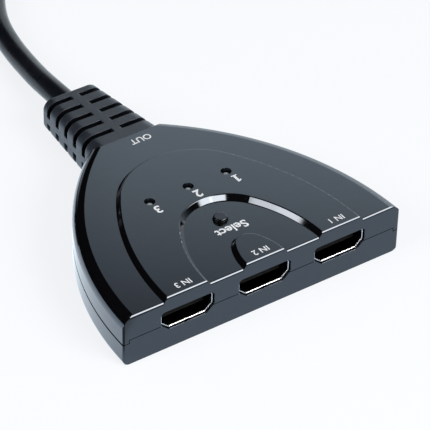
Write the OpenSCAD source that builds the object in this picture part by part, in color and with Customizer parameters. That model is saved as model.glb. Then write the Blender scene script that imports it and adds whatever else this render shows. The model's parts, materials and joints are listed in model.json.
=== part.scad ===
// Three-port video switch with a fixed lead, in millimetres.
// The sockets face -Y, the lead leaves towards +Y and the base lies on Z = 0.

/* [Housing] */
// Width across the sockets, which is also the radius of the two curved sides
body_w = 80; // [78:0.5:86]
// Depth from the sockets to the lead
body_d = 59.5; // [58:0.5:62]
// Height of the low parts of the top
body_h = 14; // [13.8:0.1:15]
// Wall thickness of both shells
wall = 2; // [1.6:0.1:2.2]
// Rounding of the top edge along the curved sides
edge_r = 3; // [2.4:0.1:3.6]
// Rounding of the front and rear top edges
brow_r = 0.6; // [0.3:0.1:0.8]
// Rounding of the edges inside both shells
inner_r = 0.4; // [0.2:0.1:0.5]
// Rounding of the upright corners beside the outer sockets
corner_r = 0.6; // [0.4:0.1:1.2]
// Rounding of the edge under the housing
foot_r = 1.8; // [1.2:0.1:2]
// Height of the seam along the curved sides
seam_z = 6.2; // [6:0.1:6.8]
// Shadow gap along the seam
seam_gap = 0.2; // [0.1:0.05:0.3]
// Rise of the lower shell's front lip above the seam
lip_rise = 1; // [0.4:0.1:1.6]
// Distance of the lip's ends from the sides
lip_inset = 1.8; // [1.2:0.1:2.6]
// Thickness of the lower shell's inner rim
rim_t = 0.9; // [0.6:0.1:1.1]
// Height of that rim above the seam
rim_h = 1; // [0.6:0.1:1.6]
// Distance from the front forward to the centres of the two curved sides
arc_ahead = 1.2; // [0.6:0.1:1.6]

/* [Stepped top] */
// Height of the raised parts above the low ones
step_h = 1.2; // [0.6:0.1:1.5]
// Width of the sloping wall between the two levels
step_run = 1; // [0.6:0.1:1.4]
// Rounding of the raised edges
crest_r = 0.4; // [0.2:0.1:0.6]
// Half width of the outer arch at the front
outer_half = 27.7; // [26:0.1:29]
// Depth of the outer arch
outer_depth = 46.9; // [45:0.1:48]
// Crown radius of the outer arch
outer_crown = 19; // [17:0.1:21]
// Half width of the inner arch at the front
inner_half = 16.7; // [15.5:0.1:18]
// Depth of the inner arch
inner_depth = 26.5; // [25:0.1:28]
// Crown radius of the inner arch
inner_crown = 12.4; // [11:0.1:13.5]
// Half width of the small arch over the middle socket
small_half = 5.3; // [4.6:0.1:6]
// Depth of the small arch
small_depth = 9.9; // [9:0.1:11]
// Crown radius of the small arch
small_crown = 3.7; // [3.2:0.1:4.2]

/* [Sockets] */
// Distance of the outer sockets' middles from the sides
port_side = 18; // [17:0.5:20]
// Inside width of a socket
port_w = 14; // [13.6:0.1:14.4]
// Inside height of a socket
port_h = 4.55; // [4.3:0.05:4.8]
// Width of a socket's lower corner slopes
port_slope_w = 2; // [1.6:0.1:2.4]
// Height of those slopes
port_slope_h = 1.75; // [1.4:0.05:2.2]
// Rounding of a socket's inner corners
port_r = 0.6; // [0.4:0.1:0.8]
// Sheet thickness of a socket's shell
port_t = 0.35; // [0.25:0.05:0.45]
// Length of a socket's shell
port_l = 11; // [10:0.5:12]
// Depth of a socket's inner floor below the low parts of the top
port_drop = 7.95; // [7.8:0.05:8.1]
// Depth of a socket's edge behind the front
port_recess = 0.5; // [0.2:0.1:1]
// Gap between a socket and its window
port_gap = 0.2; // [0.1:0.05:0.3]
// Width of a socket's tongue
tongue_w = 11.2; // [10.8:0.1:11.8]
// Thickness of the tongue
tongue_t = 1.4; // [1.2:0.1:1.6]
// Distance of the tongue's tip behind the shell's edge
tongue_set = 1.7; // [1.2:0.1:2.2]
// Height of the tongue's middle above the socket's inner floor
tongue_z = 2.5; // [2.2:0.05:2.8]
// Thickness of the insulator block behind the tongue
block_t = 2; // [1.5:0.1:2.5]
// Distance between neighbouring contacts
contact_pitch = 1; // [0.9:0.05:1.05]
// Width of a contact
contact_w = 0.45; // [0.3:0.05:0.6]
// Thickness of a contact
contact_t = 0.15; // [0.1:0.05:0.25]
// Distance of a contact's tip behind the tongue's tip
contact_set = 0.6; // [0.4:0.1:1]

/* [Lights] */
// Distance between neighbouring lights
led_pitch = 11.2; // [10:0.1:12]
// Distance of the lights behind the front
led_y = 32.5; // [31:0.1:34]
// Diameter of the holes over the lights
led_hole_d = 2.75; // [2.5:0.05:2.85]
// Diameter of a light's lens
led_d = 3; // [2.95:0.05:3.2]
// Height of the lens from its collar to its tip
led_h = 5.3; // [4.8:0.1:5.8]
// Diameter of the lens collar
led_collar_d = 3.8; // [3.6:0.1:4.2]
// Thickness of the lens collar
led_collar_t = 1; // [0.8:0.1:1.2]
// Distance between a light's two leads
led_lead_pitch = 2.54; // [2.2:0.02:2.6]
// Width of a lead
led_lead_w = 0.5; // [0.4:0.05:0.6]

/* [Select button] */
// Distance of the button behind the front
button_y = 18.8; // [18:0.1:19.6]
// Diameter of the button
button_d = 3.5; // [3.3:0.1:3.8]
// Height of the button's top above the low parts of the housing's top
button_proud = 1; // [0.6:0.1:1.4]
// Rounding of the button's top edge
button_r = 0.35; // [0.2:0.05:0.5]
// Gap between the button and the housing
button_gap = 0.2; // [0.15:0.05:0.3]
// Gap between the button and the switch's cover plate
stem_gap = 0.1; // [0.05:0.01:0.15]
// Travel of the button
button_travel = 0.25; // [0.2:0.05:0.3]
// Width of the switch
switch_w = 6; // [5.8:0.1:6.4]
// Height of the switch's base
switch_h = 3.3; // [3.1:0.1:3.6]
// Thickness of the switch's cover plate
cover_t = 0.25; // [0.2:0.05:0.4]
// Diameter of the well in the switch's base
well_d = 4.9; // [4.8:0.1:5.2]
// Thickness of the base under that well
well_floor = 0.9; // [0.7:0.1:1.1]
// Diameter of the button's collar
collar_d = 4.5; // [4.2:0.1:4.6]
// Thickness of the button's collar
collar_t = 0.6; // [0.5:0.1:0.8]
// Diameter of the nub that presses the snap dome
nub_d = 1.8; // [1.4:0.1:2.2]
// Diameter of the snap dome
dome_d = 4.4; // [4:0.1:4.6]
// Height of the snap dome
dome_h = 0.5; // [0.4:0.05:0.6]
// Thickness of the snap dome
dome_t = 0.12; // [0.08:0.02:0.16]
// Width of a switch leg
leg_w = 0.7; // [0.5:0.1:0.9]
// Thickness of a switch leg
leg_t = 0.3; // [0.2:0.05:0.4]

/* [Board] */
// Thickness of the circuit board
board_t = 1.2; // [0.8:0.1:1.6]
// Gap between the board and the curved walls
board_gap = 0.6; // [0.4:0.1:1]
// Gap between the board and the front wall
board_front_gap = 0.4; // [0.2:0.1:0.8]
// Distance of the board's rear edge from the housing's rear
board_rear = 11.5; // [10.5:0.1:12]
// Width of the switching chip
chip_w = 9; // [8:0.5:10]
// Height of the chips
chip_h = 1.4; // [1:0.1:1.6]
// Pins on each side of the switching chip
chip_side_pins = 12; // [8:1:14]
// Width of the memory chip
memory_w = 5; // [4:0.1:5.5]
// Length of the memory chip
memory_l = 4; // [3.8:0.1:4.5]
// Pins on each side of the memory chip
memory_side_pins = 4; // [3:1:4]
// Length of a chip pin
pin_l = 1; // [0.8:0.1:1.3]
// Thickness of a chip pin
pin_t = 0.2; // [0.15:0.05:0.25]
// Length of a chip capacitor
cap_l = 2; // [1.6:0.1:2.2]
// Width and height of a chip capacitor
cap_w = 1.2; // [1:0.1:1.3]
// Length of a chip resistor
res_l = 1.6; // [1.2:0.1:1.8]
// Width of a chip resistor
res_w = 0.8; // [0.6:0.1:0.9]
// Height of a chip resistor
res_h = 0.5; // [0.4:0.05:0.6]

/* [Screws] */
// Distance of the front screws from the sides
screw_inset = 7; // [6.8:0.1:7.6]
// Distance of the front screws behind the front
screw_y = 15; // [14:0.1:17]
// Distance of the rear screw from the housing's rear
screw_rear = 16.7; // [16.5:0.1:17.2]
// Diameter of a screw's shank
screw_d = 2.1; // [1.8:0.1:2.3]
// Length of a screw's shank
screw_l = 8; // [6.5:0.5:8.5]
// Diameter of a screw's head
head_d = 3.8; // [3.4:0.1:4]
// Height of a screw's head
head_h = 1.3; // [1:0.1:1.5]
// Depth of the heads inside the base
head_sink = 0.6; // [0.3:0.1:0.8]
// Gap round a screw's head
head_gap = 0.2; // [0.1:0.05:0.3]
// Wall round a screw in its bosses
boss_t = 0.9; // [0.8:0.1:1.1]
// Width of the shoulder at the top of an upper boss
shoulder_t = 0.5; // [0.3:0.1:0.8]
// Gap between a screw's shank and the lower boss
shank_gap = 0.2; // [0.1:0.05:0.25]
// Gap between a screw's shank and the upper boss
thread_gap = 0.05; // [0.02:0.01:0.08]
// Gap between the board and the bosses that pass through it
board_fit = 0.15; // [0.1:0.05:0.3]

/* [Strain relief] */
// Length of the strain relief
boot_l = 27; // [25:0.5:30]
// Width at the housing
boot_w0 = 20.6; // [19:0.1:21]
// Width at the free end
boot_w1 = 16.2; // [15.5:0.1:17.5]
// Step from the low parts of the housing's top down to the strain relief's
boot_step = 0.5; // [0.2:0.1:1]
// Height of its top above the lead's middle at the free end
boot_up1 = 4.6; // [4.4:0.1:5.7]
// Height of its underside above the base at the housing
boot_low0 = 0.9; // [0.6:0.1:1.4]
// Depth of its underside below the lead's middle at the free end
boot_down1 = 4.8; // [4.4:0.1:5.2]
// Rounding of the long edges at the housing
boot_r0 = 3.4; // [2.6:0.1:4]
// Rounding of the long edges at the free end
boot_r1 = 2.8; // [2.2:0.1:3.4]
// Rounding of the free end's rim
boot_rim = 0.7; // [0.4:0.1:1]
// Number of rings of slots
slot_n = 5; // [4:1:5]
// Distance between neighbouring rings
slot_pitch = 4.75; // [4.5:0.05:5]
// Width of a slot
slot_w = 1.7; // [1.4:0.1:2]
// Depth of a slot
slot_d = 2.2; // [1.6:0.1:2.4]
// Least wall left between a slot and the lead
slot_skin = 0.3; // [0.2:0.05:0.5]
// Distance of the last ring's middle from the free end
slot_end = 3.1; // [2.6:0.1:3.6]
// Width of the spines along the top and the underside
spine_w = 2.4; // [2:0.1:3]
// Height of the spines along the sides
spine_h = 2; // [1.6:0.1:2.6]
// Width of the neck in the rear wall
neck_w = 13; // [12:0.1:14]
// Height of the flange's rim round the neck
flange_rim = 0.5; // [0.3:0.1:0.7]
// Width of the flange behind the rear wall
flange_w = 17; // [16:0.1:17.5]
// Height left free above and below that flange together
flange_room = 1; // [0.8:0.1:1.2]
// Thickness of that flange
flange_t = 2; // [1.6:0.1:2.4]
// Gap between the strain relief and the rear wall
boot_gap = 0.1; // [0.05:0.01:0.15]

/* [Lead] */
// Diameter of the lead
cable_d = 6.2; // [5.8:0.1:6.4]
// Depth of the lead's middle below the middle of the room inside
cable_drop = 0.2; // [0.1:0.05:0.3]
// Gap between the lead's jacket and what is moulded or crimped round it
jacket_gap = 0.05; // [0.02:0.01:0.08]
// Length of the jacket inside the housing past the flange
jacket_l = 5; // [4.6:0.1:5.6]
// Length of the crimp ring
crimp_l = 3; // [2.5:0.1:3.5]
// Thickness of the crimp ring
crimp_t = 0.5; // [0.3:0.1:0.7]
// Distance of the crimp ring from the jacket's inner end
crimp_set = 0.6; // [0.4:0.1:1]
// Diameter of an inner wire
wire_d = 0.45; // [0.35:0.05:0.5]
// Number of inner wires
wire_n = 9; // [7:2:9]
// Distance between the wires on the board
wire_pitch = 1.2; // [1:0.1:1.3]
// Radius of the coil's first turn, at the middle of the lead
coil_r = 37; // [34:0.5:38]
// Turns of the coil
coil_turns = 1.6; // [1.55:0.01:1.65]
// Step of the coil's spiral, in and then out
coil_step = 6.6; // [6:0.1:7]
// Height of the coil's upper layer above its lower one
coil_rise = 6.8; // [6.7:0.1:7.5]
// Thickness of the tie round the coil
tie_t = 0.6; // [0.5:0.1:1]
// Width of the tie
tie_w = 4; // [3:0.1:5]
// Gap between the tie and the lead
tie_gap = 0.2; // [0.15:0.05:0.3]

/* [Plug] */
// Width of the plug's grip
grip_w = 20.6; // [19:0.1:22]
// Height of the plug's grip
grip_h = 11; // [10:0.1:12]
// Length of the plug's grip
grip_l = 24; // [21:0.5:28]
// Rounding of the grip's long edges
grip_r = 2; // [1.2:0.1:3]
// Rounding of the grip's corners seen from above
grip_corner_r = 3; // [2:0.1:4]
// Length of the plug's strain relief
tail_l = 14; // [12:0.5:16]
// Width of the plug's strain relief at the grip
tail_w0 = 12; // [11:0.1:13]
// Width of the plug's strain relief at the lead
tail_w1 = 9.6; // [9.4:0.1:10.5]
// Height of the plug's strain relief at the grip
tail_h0 = 9.6; // [9.2:0.1:10]
// Height of the plug's strain relief at the lead
tail_h1 = 8.8; // [8.6:0.1:9.2]
// Outside width of the plug's shell
plug_w = 13.9; // [13.6:0.05:14]
// Outside height of the plug's shell
plug_h = 4.45; // [4.3:0.05:4.5]
// Sheet thickness of the plug's shell
plug_t = 0.3; // [0.2:0.05:0.4]
// Length of the plug's shell
plug_l = 11.7; // [11:0.1:12.5]
// Width of the slot in the plug's insulator
plug_slot_w = 11.9; // [11.6:0.1:12]
// Height of that slot
plug_slot_h = 2; // [1.8:0.1:2.1]
// Distance of the insulator's edge behind the shell's edge
plug_set = 0.4; // [0.2:0.1:0.8]

/* [Hidden] */
$fn = 64;
// Facets of the large revolved forms
big_fn = 180;
// Facets of a rounding inside a hull
hull_fn = 48;
// Overrun of every cut past the face that it opens
over = 1;
// Overlap of a piece with the form that it grows from
root = 0.5;
// Excess of a radius over a bare tangent, which keeps the two faces that meet there apart
ease = 0.02;
// Facets of a socket's rounded corner
corner_facets = 4;

overall_l = body_d + boot_l;
top_z = body_h + step_h;
ceiling_z = body_h - wall;
band_ceiling_z = top_z - wall;
port_pitch = body_w / 2 - port_side;
port_z = body_h - port_drop;
board_top = port_z - port_t;
board_low = board_top - board_t;
board_front = wall + board_front_gap;
board_end = body_d - board_rear;

// Places of the screws, and the radii of the bosses that take them
screws_at = [
  [-(body_w / 2 - screw_inset), screw_y],
  [body_w / 2 - screw_inset, screw_y],
  [0, body_d - screw_rear]
];
head_r = head_d / 2 + head_gap;
seat_z = head_sink + head_h;
seat_r = head_r + boss_t;
pin_r = screw_d / 2 + shank_gap + boss_t;
post_r = screw_d / 2 + thread_gap + boss_t + shank_gap;

// The lens tip enters its hole from below as far as its round end allows
lens_gap = 0.1;
led_tip = led_d / 2 - sqrt(pow(led_d / 2, 2) - pow(led_hole_d / 2 - lens_gap, 2));
led_base = band_ceiling_z + led_tip - led_h;

// Heights of the switch's pieces above the board
play = 0.05;
collar_top = board_top + switch_h - play;
dome_top = board_top + well_floor + dome_h;

// Places of the parts on the board, from the middle of the front
chip_at = [-15, 22];
memory_at = [15, 22];
caps_at = [[-24, 17], [-24, 20], [-24, 23], [8, 26.5], [22, 20], [22, 23]];
res_at = [[-9, 14.5], [-7, 14.5], [7, 14.5], [9, 14.5], [11, 14.5], [-13, 30], [-16, 30], [16, 30]];

// Heights of the lead and of the strain relief round it
cable_z = (wall + ceiling_z) / 2 - cable_drop;
flange_h = ceiling_z - wall - flange_room;
neck_h = flange_h - 2 * flange_rim;
boot_top0 = body_h - boot_step;
boot_top1 = cable_z + boot_up1;
boot_low1 = cable_z - boot_down1;

// Lengths along the strain relief's inner end
flange_y = body_d - wall - boot_gap - flange_t;
jacket_y = flange_y - jacket_l;

// The lead's route on the floor: its exit, points chosen along it, and where the coil takes over
floor_z = 3.15;
exit_p = [0, overall_l / 2, cable_z];
run_points = [
  [0, 47, 6.8], [0.1, 51, 6.5], [0.5, 56, 5.8], [1.1, 61, 5], [1.9, 66, 4.3], [2.7, 71, 3.7],
  [3.5, 76, 3.3], [4.4, 81, floor_z], [5.6, 86.5, floor_z], [7.2, 91.5, floor_z],
  [9.4, 96.5, floor_z], [12.1, 101.5, floor_z], [15.3, 107, 3.3]
];
coil_z = cable_d / 2 + tie_t + tie_gap + play;
coil_at = [-7, 141.5];
coil_from = -36;
loop_rings = 24;
coil_steps = round(coil_turns * loop_rings);
// The climb to the upper layer takes the half turn in which the spiral reverses
climb_from = coil_turns / 2 - 0.25;
climb_turns = 0.5;
tie_at = (coil_turns - 1) / 2;
// Share of the drop from the coil to the plug, along the last stretch
tail_points = [[0, 0], [6, 0], [12, 0.06], [18, 0.28], [24, 0.62], [30, 0.92], [34, 1], [38, 1]];

function arch_side(half, depth, crown) =
  (half * half + pow(depth - crown, 2) - crown * crown) / (2 * (half - crown));
function port_x(k) = (2 - k) * port_pitch;
function led_x(k) = (2 - k) * led_pitch;
function unit(v) = v / norm(v);
function smooth(t) = let (s = min(max(t, 0), 1)) s * s * (3 - 2 * s);
function between(a, b, t) = a + (b - a) * t;

// Outline of a socket: flat top, upright sides and sloping lower corners, grown evenly by g
function socket_outline(w, h, sw, sh, g) =
  let (long = norm([sw, sh]), side = w / 2 + g, foot = w / 2 - sw + g * (long - sw) / sh,
    knee = sh + g * (sh - long) / sw)
  [[-side, h + g], [-side, knee], [-foot, -g], [foot, -g], [side, knee], [side, h + g]];

// Points of the coil: turn number t, radius in and out at a steady step, height with its climb
function coil_radius(t) = coil_r - coil_step * min(t, coil_turns - t);
function coil_height(t) = coil_z + coil_rise * smooth((t - climb_from) / climb_turns);
function coil_point(t) =
  let (a = coil_from + 360 * t, r = coil_radius(t))
  [coil_at[0] + r * cos(a), coil_at[1] + r * sin(a), coil_height(t)];
function heading(t) = let (a = coil_from + 360 * t) [-sin(a), cos(a), 0];
coil_in = coil_point(0) - heading(0) * cable_d;
coil_out = coil_point(coil_turns) + heading(coil_turns) * cable_d;
coil_path = concat(
  [coil_in], [for (i = [0:coil_steps]) coil_point(coil_turns * i / coil_steps)], [coil_out]
);
run_path = concat([exit_p], run_points, [coil_in - heading(0) * cable_d, coil_in]);
plug_z = grip_h / 2 + play;
tail_path = [
  for (p = tail_points)
    let (flat = coil_out + heading(coil_turns) * p[0])
    [flat[0], flat[1], between(coil_out[2], plug_z, p[1])]
];
plug_at = tail_path[len(tail_path) - 1];

function path_length(p) = len(p) < 2 ? 0 : [for (i = 1, s = norm(p[1] - p[0]); i < len(p);
  i = i + 1, s = i < len(p) ? s + norm(p[i] - p[i - 1]) : s) s][len(p) - 2];
// Least distance between turns of the coil, less the lead's diameter
function self_gap(p, apart) = min([
  for (i = [0:len(p) - 1]) for (j = [i + apart:1:len(p) - 1]) norm(p[i] - p[j])
]) - cable_d;
echo(coil_gap_mm = self_gap(coil_path, round(loop_rings / 2)));
echo(lead_length_mm = path_length(run_path) + path_length(coil_path) + path_length(tail_path));

// Moves what is measured from the middle of the front into the part's own frame
module at_front() {
  translate([0, -overall_l / 2, 0]) children();
}

// Extrudes an outline drawn in X and Z along +Y
module along_y(length) {
  mirror([0, 1, 0]) rotate([90, 0, 0]) linear_extrude(length) children();
}

// Half section of a disc with rounded lower and upper rims
module disc_section(r, low, high, low_r, high_r) {
  translate([0, low + low_r]) square([r, high - low - low_r - high_r]);
  translate([0, low]) square([r - low_r, high - low - high_r]);
  translate([0, low + low_r]) square([r - high_r, high - low - low_r]);
  translate([r - low_r, low + low_r]) circle(low_r);
  translate([r - high_r, high - high_r]) circle(high_r);
}

// Side view of the housing, from front to rear, with its top edges rounded
module side_section(inset, low, high, r) {
  translate([inset, low]) square([body_d - 2 * inset, high - low - r]);
  translate([inset + r, low]) square([body_d - 2 * (inset + r), high - low]);
  translate([inset + r, high - r]) circle(r);
  translate([body_d - inset - r, high - r]) circle(r);
}

// A slice of the housing across its whole width, between the front and the rear
module side_slab(inset, low, high, r) {
  rotate([90, 0, 90]) linear_extrude(body_w + 2 * over, center = true)
    side_section(inset, low, high, r);
}

// The plan of the housing: two discs, each centred a little ahead of the other side's front corner
module plan_form(inset, low, high, low_r, high_r) {
  intersection_for(side = [-1, 1])
    translate([side * body_w / 2, -arc_ahead, 0])
      rotate_extrude($fn = big_fn)
        disc_section(body_w - inset, low, high, low_r, high_r);
}

// The plan again, kept between a front and a rear wall
module inset_form(inset, low, high, high_r) {
  intersection() {
    plan_form(inset, low, high, inner_r, high_r);
    translate([-body_w / 2, inset, low - over])
      cube([body_w, body_d - 2 * inset, high - low + 2 * over]);
  }
}

// The same outline with its corners rounded to the radius r
module socket_form(w, h, sw, sh, g, r) {
  p = socket_outline(w, h, sw, sh, g - r);
  n = len(p);
  function outward(i) = let (e = p[(i + 1) % n] - p[i % n]) atan2(-e[0], e[1]);
  polygon([
    for (i = [0:n - 1])
      let (from = outward(i + n - 1), turn = (outward(i) - from + 360) % 360)
      for (k = [0:corner_facets])
        let (a = from + turn * k / corner_facets)
        p[i] + r * [cos(a), sin(a)]
  ]);
}

// A socket's outline, grown by g on all sides
module port_form(g) {
  socket_form(port_w, port_h, port_slope_w, port_slope_h, g, port_r + g);
}

// What the roundings take off the two upright front corners
module corner_cuts() {
  centre_x = sqrt(pow(body_w - corner_r, 2) - pow(corner_r + arc_ahead, 2)) - body_w / 2;
  for (side = [0, 1]) mirror([side, 0, 0])
    translate([centre_x, 0, -over]) linear_extrude(body_h + 2 * over) difference() {
      translate([0, -over]) square([corner_r + over, corner_r + over]);
      translate([0, corner_r]) circle(corner_r + ease);
    }
}

// The outside of the housing without the raised parts of the top
module body_form() {
  difference() {
    intersection() {
      plan_form(0, 0, body_h, foot_r, edge_r);
      side_slab(0, 0, body_h, brow_r);
    }
    corner_cuts();
  }
}

// The room inside the housing
module cavity() {
  inset_form(wall, wall, ceiling_z, max(edge_r - wall, inner_r));
}

// Everything below the seam, with the front lip
module below_seam(lift) {
  lip_half = body_w / 2 - lip_inset + lift;
  translate([-body_w, -over, -over])
    cube([2 * body_w, body_d + 2 * over, seam_z + lift + over]);
  translate([-lip_half, -over, 0])
    cube([2 * lip_half, wall + over, seam_z + lip_rise + lift]);
}

// A three-centred arch: two side arcs that start square to the front, and a crown.
// Its child is the half section, drawn at the radius $arc_r.
module arch_form(half, depth, crown) {
  side_r = arch_side(half, depth, crown);
  far = 2 * body_w;
  crown_y = depth - crown;
  ray = unit([side_r - half, crown_y]) * far;
  module above_rays() {
    translate([0, crown_y, -over]) linear_extrude(top_z + 2 * over)
      polygon([[0, 0], ray, [0, far], [-ray[0], ray[1]]]);
  }
  difference() {
    intersection_for(side = [-1, 1])
      translate([side * (side_r - half), 0, 0])
        rotate_extrude($fn = big_fn) let ($arc_r = side_r) children();
    above_rays();
  }
  intersection() {
    translate([0, crown_y, 0]) rotate_extrude($fn = big_fn) let ($arc_r = crown + ease) children();
    above_rays();
  }
}

// Half section of a raised arch: flat top, rounded crest, sloping wall, root inside the top
module raised_section(r) {
  slope = atan2(step_h, step_run);
  run = crest_r * tan(slope / 2);
  polygon([
    [0, body_h - wall / 2], [r + step_run, body_h - wall / 2], [r + step_run, body_h],
    [r + run * cos(slope), top_z - run * sin(slope)], [r - run, top_z], [0, top_z]
  ]);
  translate([r - run, top_z - crest_r]) circle(crest_r);
}

// Half section of a recess: the same wall the other way up, with the crest outside it
module recess_section(r) {
  slope = atan2(step_h, step_run);
  run = crest_r * tan(slope / 2);
  difference() {
    polygon([
      [0, body_h - wall], [r - step_run, body_h - wall], [r - step_run, body_h],
      [r - run * cos(slope), top_z - run * sin(slope)], [r + run, top_z], [r + run, top_z + over],
      [0, top_z + over]
    ]);
    translate([r + run, top_z - crest_r]) circle(crest_r);
  }
}

// Half section of an arch with upright walls, grown by g
module plain_section(r, g, low, high) {
  translate([0, low]) square([r + g, high - low]);
}

// The raised band round the recess, and the small island over the middle socket
module raised_top() {
  intersection() {
    union() {
      difference() {
        arch_form(outer_half, outer_depth, outer_crown) raised_section($arc_r);
        arch_form(inner_half, inner_depth, inner_crown) recess_section($arc_r);
      }
      arch_form(small_half, small_depth, small_crown) raised_section($arc_r);
    }
    side_slab(0, body_h - wall, top_z + ease, brow_r);
  }
}

// The hollow under the raised band, with shoulders left round the screw bosses
module band_pocket() {
  low = ceiling_z - over;
  difference() {
    pocket_form(low);
    for (p = screws_at)
      translate([p[0], p[1], low - over]) cylinder(r = post_r + shoulder_t, h = top_z);
  }
}

module pocket_form(low) {
  intersection() {
    difference() {
      arch_form(outer_half, outer_depth, outer_crown)
        plain_section($arc_r, -wall, low, band_ceiling_z);
      arch_form(inner_half, inner_depth, inner_crown)
        plain_section($arc_r, wall, low - over, band_ceiling_z + over);
    }
    translate([-body_w / 2, wall, low - over]) cube([body_w, body_d, top_z]);
  }
}

// Windows in the front wall round the sockets
module port_windows() {
  for (k = [1:3])
    translate([port_x(k), -over, port_z]) along_y(wall + 2 * over)
      port_form(port_t + port_gap);
}

// Opening in the rear wall for the strain relief's neck
module neck_opening() {
  w = neck_w + 2 * boot_gap;
  h = neck_h + 2 * boot_gap;
  translate([-w / 2, body_d - wall - over, cable_z - h / 2]) cube([w, wall + 2 * over, h]);
}

module top_shell() {
  color("#25282c") at_front() difference() {
    union() {
      difference() {
        body_form();
        below_seam(seam_gap);
        cavity();
        inset_form(wall - rim_t - play, 0, seam_z + rim_h + play, inner_r);
      }
      raised_top();
      for (p = screws_at)
        translate([p[0], p[1], seam_z]) cylinder(r = post_r, h = ceiling_z + root - seam_z);
    }
    band_pocket();
    port_windows();
    neck_opening();
    for (k = [1:3])
      translate([led_x(k), led_y, ceiling_z - over])
        cylinder(d = led_hole_d, h = top_z - ceiling_z + 2 * over);
    translate([0, button_y, ceiling_z - over])
      cylinder(d = button_d + 2 * button_gap, h = wall + 2 * over);
    for (p = screws_at)
      translate([p[0], p[1], seam_z - over])
        cylinder(r = screw_d / 2 + thread_gap, h = seat_z + screw_l + root - seam_z + over);
  }
}

module bottom_shell() {
  color("#25282c") at_front() difference() {
    union() {
      intersection() {
        difference() {
          body_form();
          cavity();
        }
        below_seam(0);
      }
      intersection() {
        difference() {
          inset_form(wall - rim_t, wall, seam_z + rim_h, inner_r);
          cavity();
        }
        translate([-body_w / 2, 0, seam_z - rim_h]) cube([body_w, body_d, body_h]);
      }
      for (p = screws_at) translate([p[0], p[1], 0]) {
        translate([0, 0, wall - root]) cylinder(r = seat_r, h = board_low - wall + root);
        translate([0, 0, wall]) cylinder(r = pin_r, h = seam_z - wall);
      }
    }
    port_windows();
    neck_opening();
    for (p = screws_at) translate([p[0], p[1], -over]) {
      cylinder(r = head_r, h = seat_z + over);
      cylinder(r = screw_d / 2 + shank_gap, h = seam_z + 2 * over);
    }
  }
}

module circuit_board() {
  color("#1f5a3a") at_front() difference() {
    intersection() {
      intersection_for(side = [-1, 1])
        translate([side * body_w / 2, -arc_ahead, board_low])
          cylinder(r = body_w - wall - board_gap, h = board_t, $fn = big_fn);
      translate([-body_w / 2, board_front, board_low - over])
        cube([body_w, board_end - board_front, board_t + 2 * over]);
    }
    for (p = screws_at)
      translate([p[0], p[1], board_low - over])
        cylinder(r = pin_r + board_fit, h = board_t + 2 * over);
  }
}

module port_shell(k) {
  color("silver") at_front() translate([port_x(k), port_recess, port_z]) difference() {
    along_y(port_l) port_form(port_t);
    translate([0, -over, 0]) along_y(port_l + 2 * over) port_form(0);
  }
}

module port_tongue(k) {
  color("#161616") at_front() translate([port_x(k), port_recess, port_z]) {
    translate([0, port_l - block_t, 0]) along_y(block_t) port_form(-play);
    translate([-tongue_w / 2, tongue_set, tongue_z - tongue_t / 2])
      cube([tongue_w, port_l - block_t - tongue_set + root, tongue_t]);
  }
}

// One row of n contacts side by side, each length long, on the plane Z = 0
module contact_row(n, length) {
  for (i = [0:n - 1])
    translate([(i - (n - 1) / 2) * contact_pitch - contact_w / 2, 0, 0])
      cube([contact_w, length, contact_t]);
}

module port_contacts(k) {
  length = port_l - block_t - tongue_set - contact_set;
  color("goldenrod") at_front()
    translate([port_x(k), port_recess + tongue_set + contact_set, port_z + tongue_z]) {
      translate([0, 0, tongue_t / 2]) contact_row(10, length);
      translate([0, 0, -tongue_t / 2 - contact_t]) contact_row(9, length);
    }
}

module led_lens(k) {
  color("#e8ece4") at_front() translate([led_x(k), led_y, led_base]) rotate_extrude() {
    square([led_collar_d / 2, led_collar_t]);
    square([led_d / 2, led_h - led_d / 2]);
    intersection() {
      translate([0, led_h - led_d / 2]) circle(led_d / 2);
      square([led_d, led_h]);
    }
  }
}

module led_leads() {
  color("silver") at_front() for (k = [1:3]) for (side = [-1, 1])
    translate([led_x(k) + side * led_lead_pitch / 2 - led_lead_w / 2, led_y - led_lead_w / 2, board_top])
      cube([led_lead_w, led_lead_w, led_base - board_top]);
}

module select_button() {
  top = body_h + button_proud;
  r = button_d / 2;
  color("#2b2d30") at_front() translate([0, button_y, 0]) rotate_extrude() {
    translate([0, dome_top + play]) square([nub_d / 2, collar_top - dome_top - play]);
    translate([0, collar_top - collar_t]) square([collar_d / 2, collar_t]);
    translate([0, collar_top - collar_t]) square([r, top - button_r - collar_top + collar_t]);
    translate([0, top - 2 * button_r]) square([r - button_r, 2 * button_r]);
    translate([r - button_r, top - button_r]) circle(button_r);
  }
}

module switch_base() {
  color("#161616") at_front() translate([0, button_y, board_top]) difference() {
    translate([-switch_w / 2, -switch_w / 2, 0]) cube([switch_w, switch_w, switch_h]);
    translate([0, 0, well_floor]) cylinder(d = well_d, h = switch_h);
  }
}

module switch_cover() {
  color("silver") at_front() translate([0, button_y, board_top + switch_h]) difference() {
    translate([-switch_w / 2, -switch_w / 2, 0]) cube([switch_w, switch_w, cover_t]);
    translate([0, 0, -over]) cylinder(d = button_d + 2 * stem_gap, h = cover_t + 2 * over);
  }
}

// A shallow cap cut from a hollow ball
module switch_dome() {
  ball = (pow(dome_d / 2, 2) + dome_h * dome_h) / (2 * dome_h);
  color("silver") at_front() translate([0, button_y, board_top + well_floor]) rotate_extrude()
    intersection() {
      translate([0, dome_h - ball]) difference() {
        circle(ball, $fn = big_fn);
        circle(ball - dome_t, $fn = big_fn);
      }
      square([dome_d, dome_h]);
    }
}

module switch_legs() {
  color("silver") at_front() translate([0, button_y, board_top])
    for (x = [-1, 1]) for (y = [-1, 1])
      translate([x * (switch_w + leg_t) / 2 - leg_t / 2, y * (switch_w / 2 - leg_w) - leg_w / 2, 0])
        cube([leg_t, leg_w, switch_h * 0.6]);
}

module chip(at, w, l) {
  color("#161616") at_front() translate([at[0] - w / 2, at[1] - l / 2, board_top]) cube([w, l, chip_h]);
}

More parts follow.
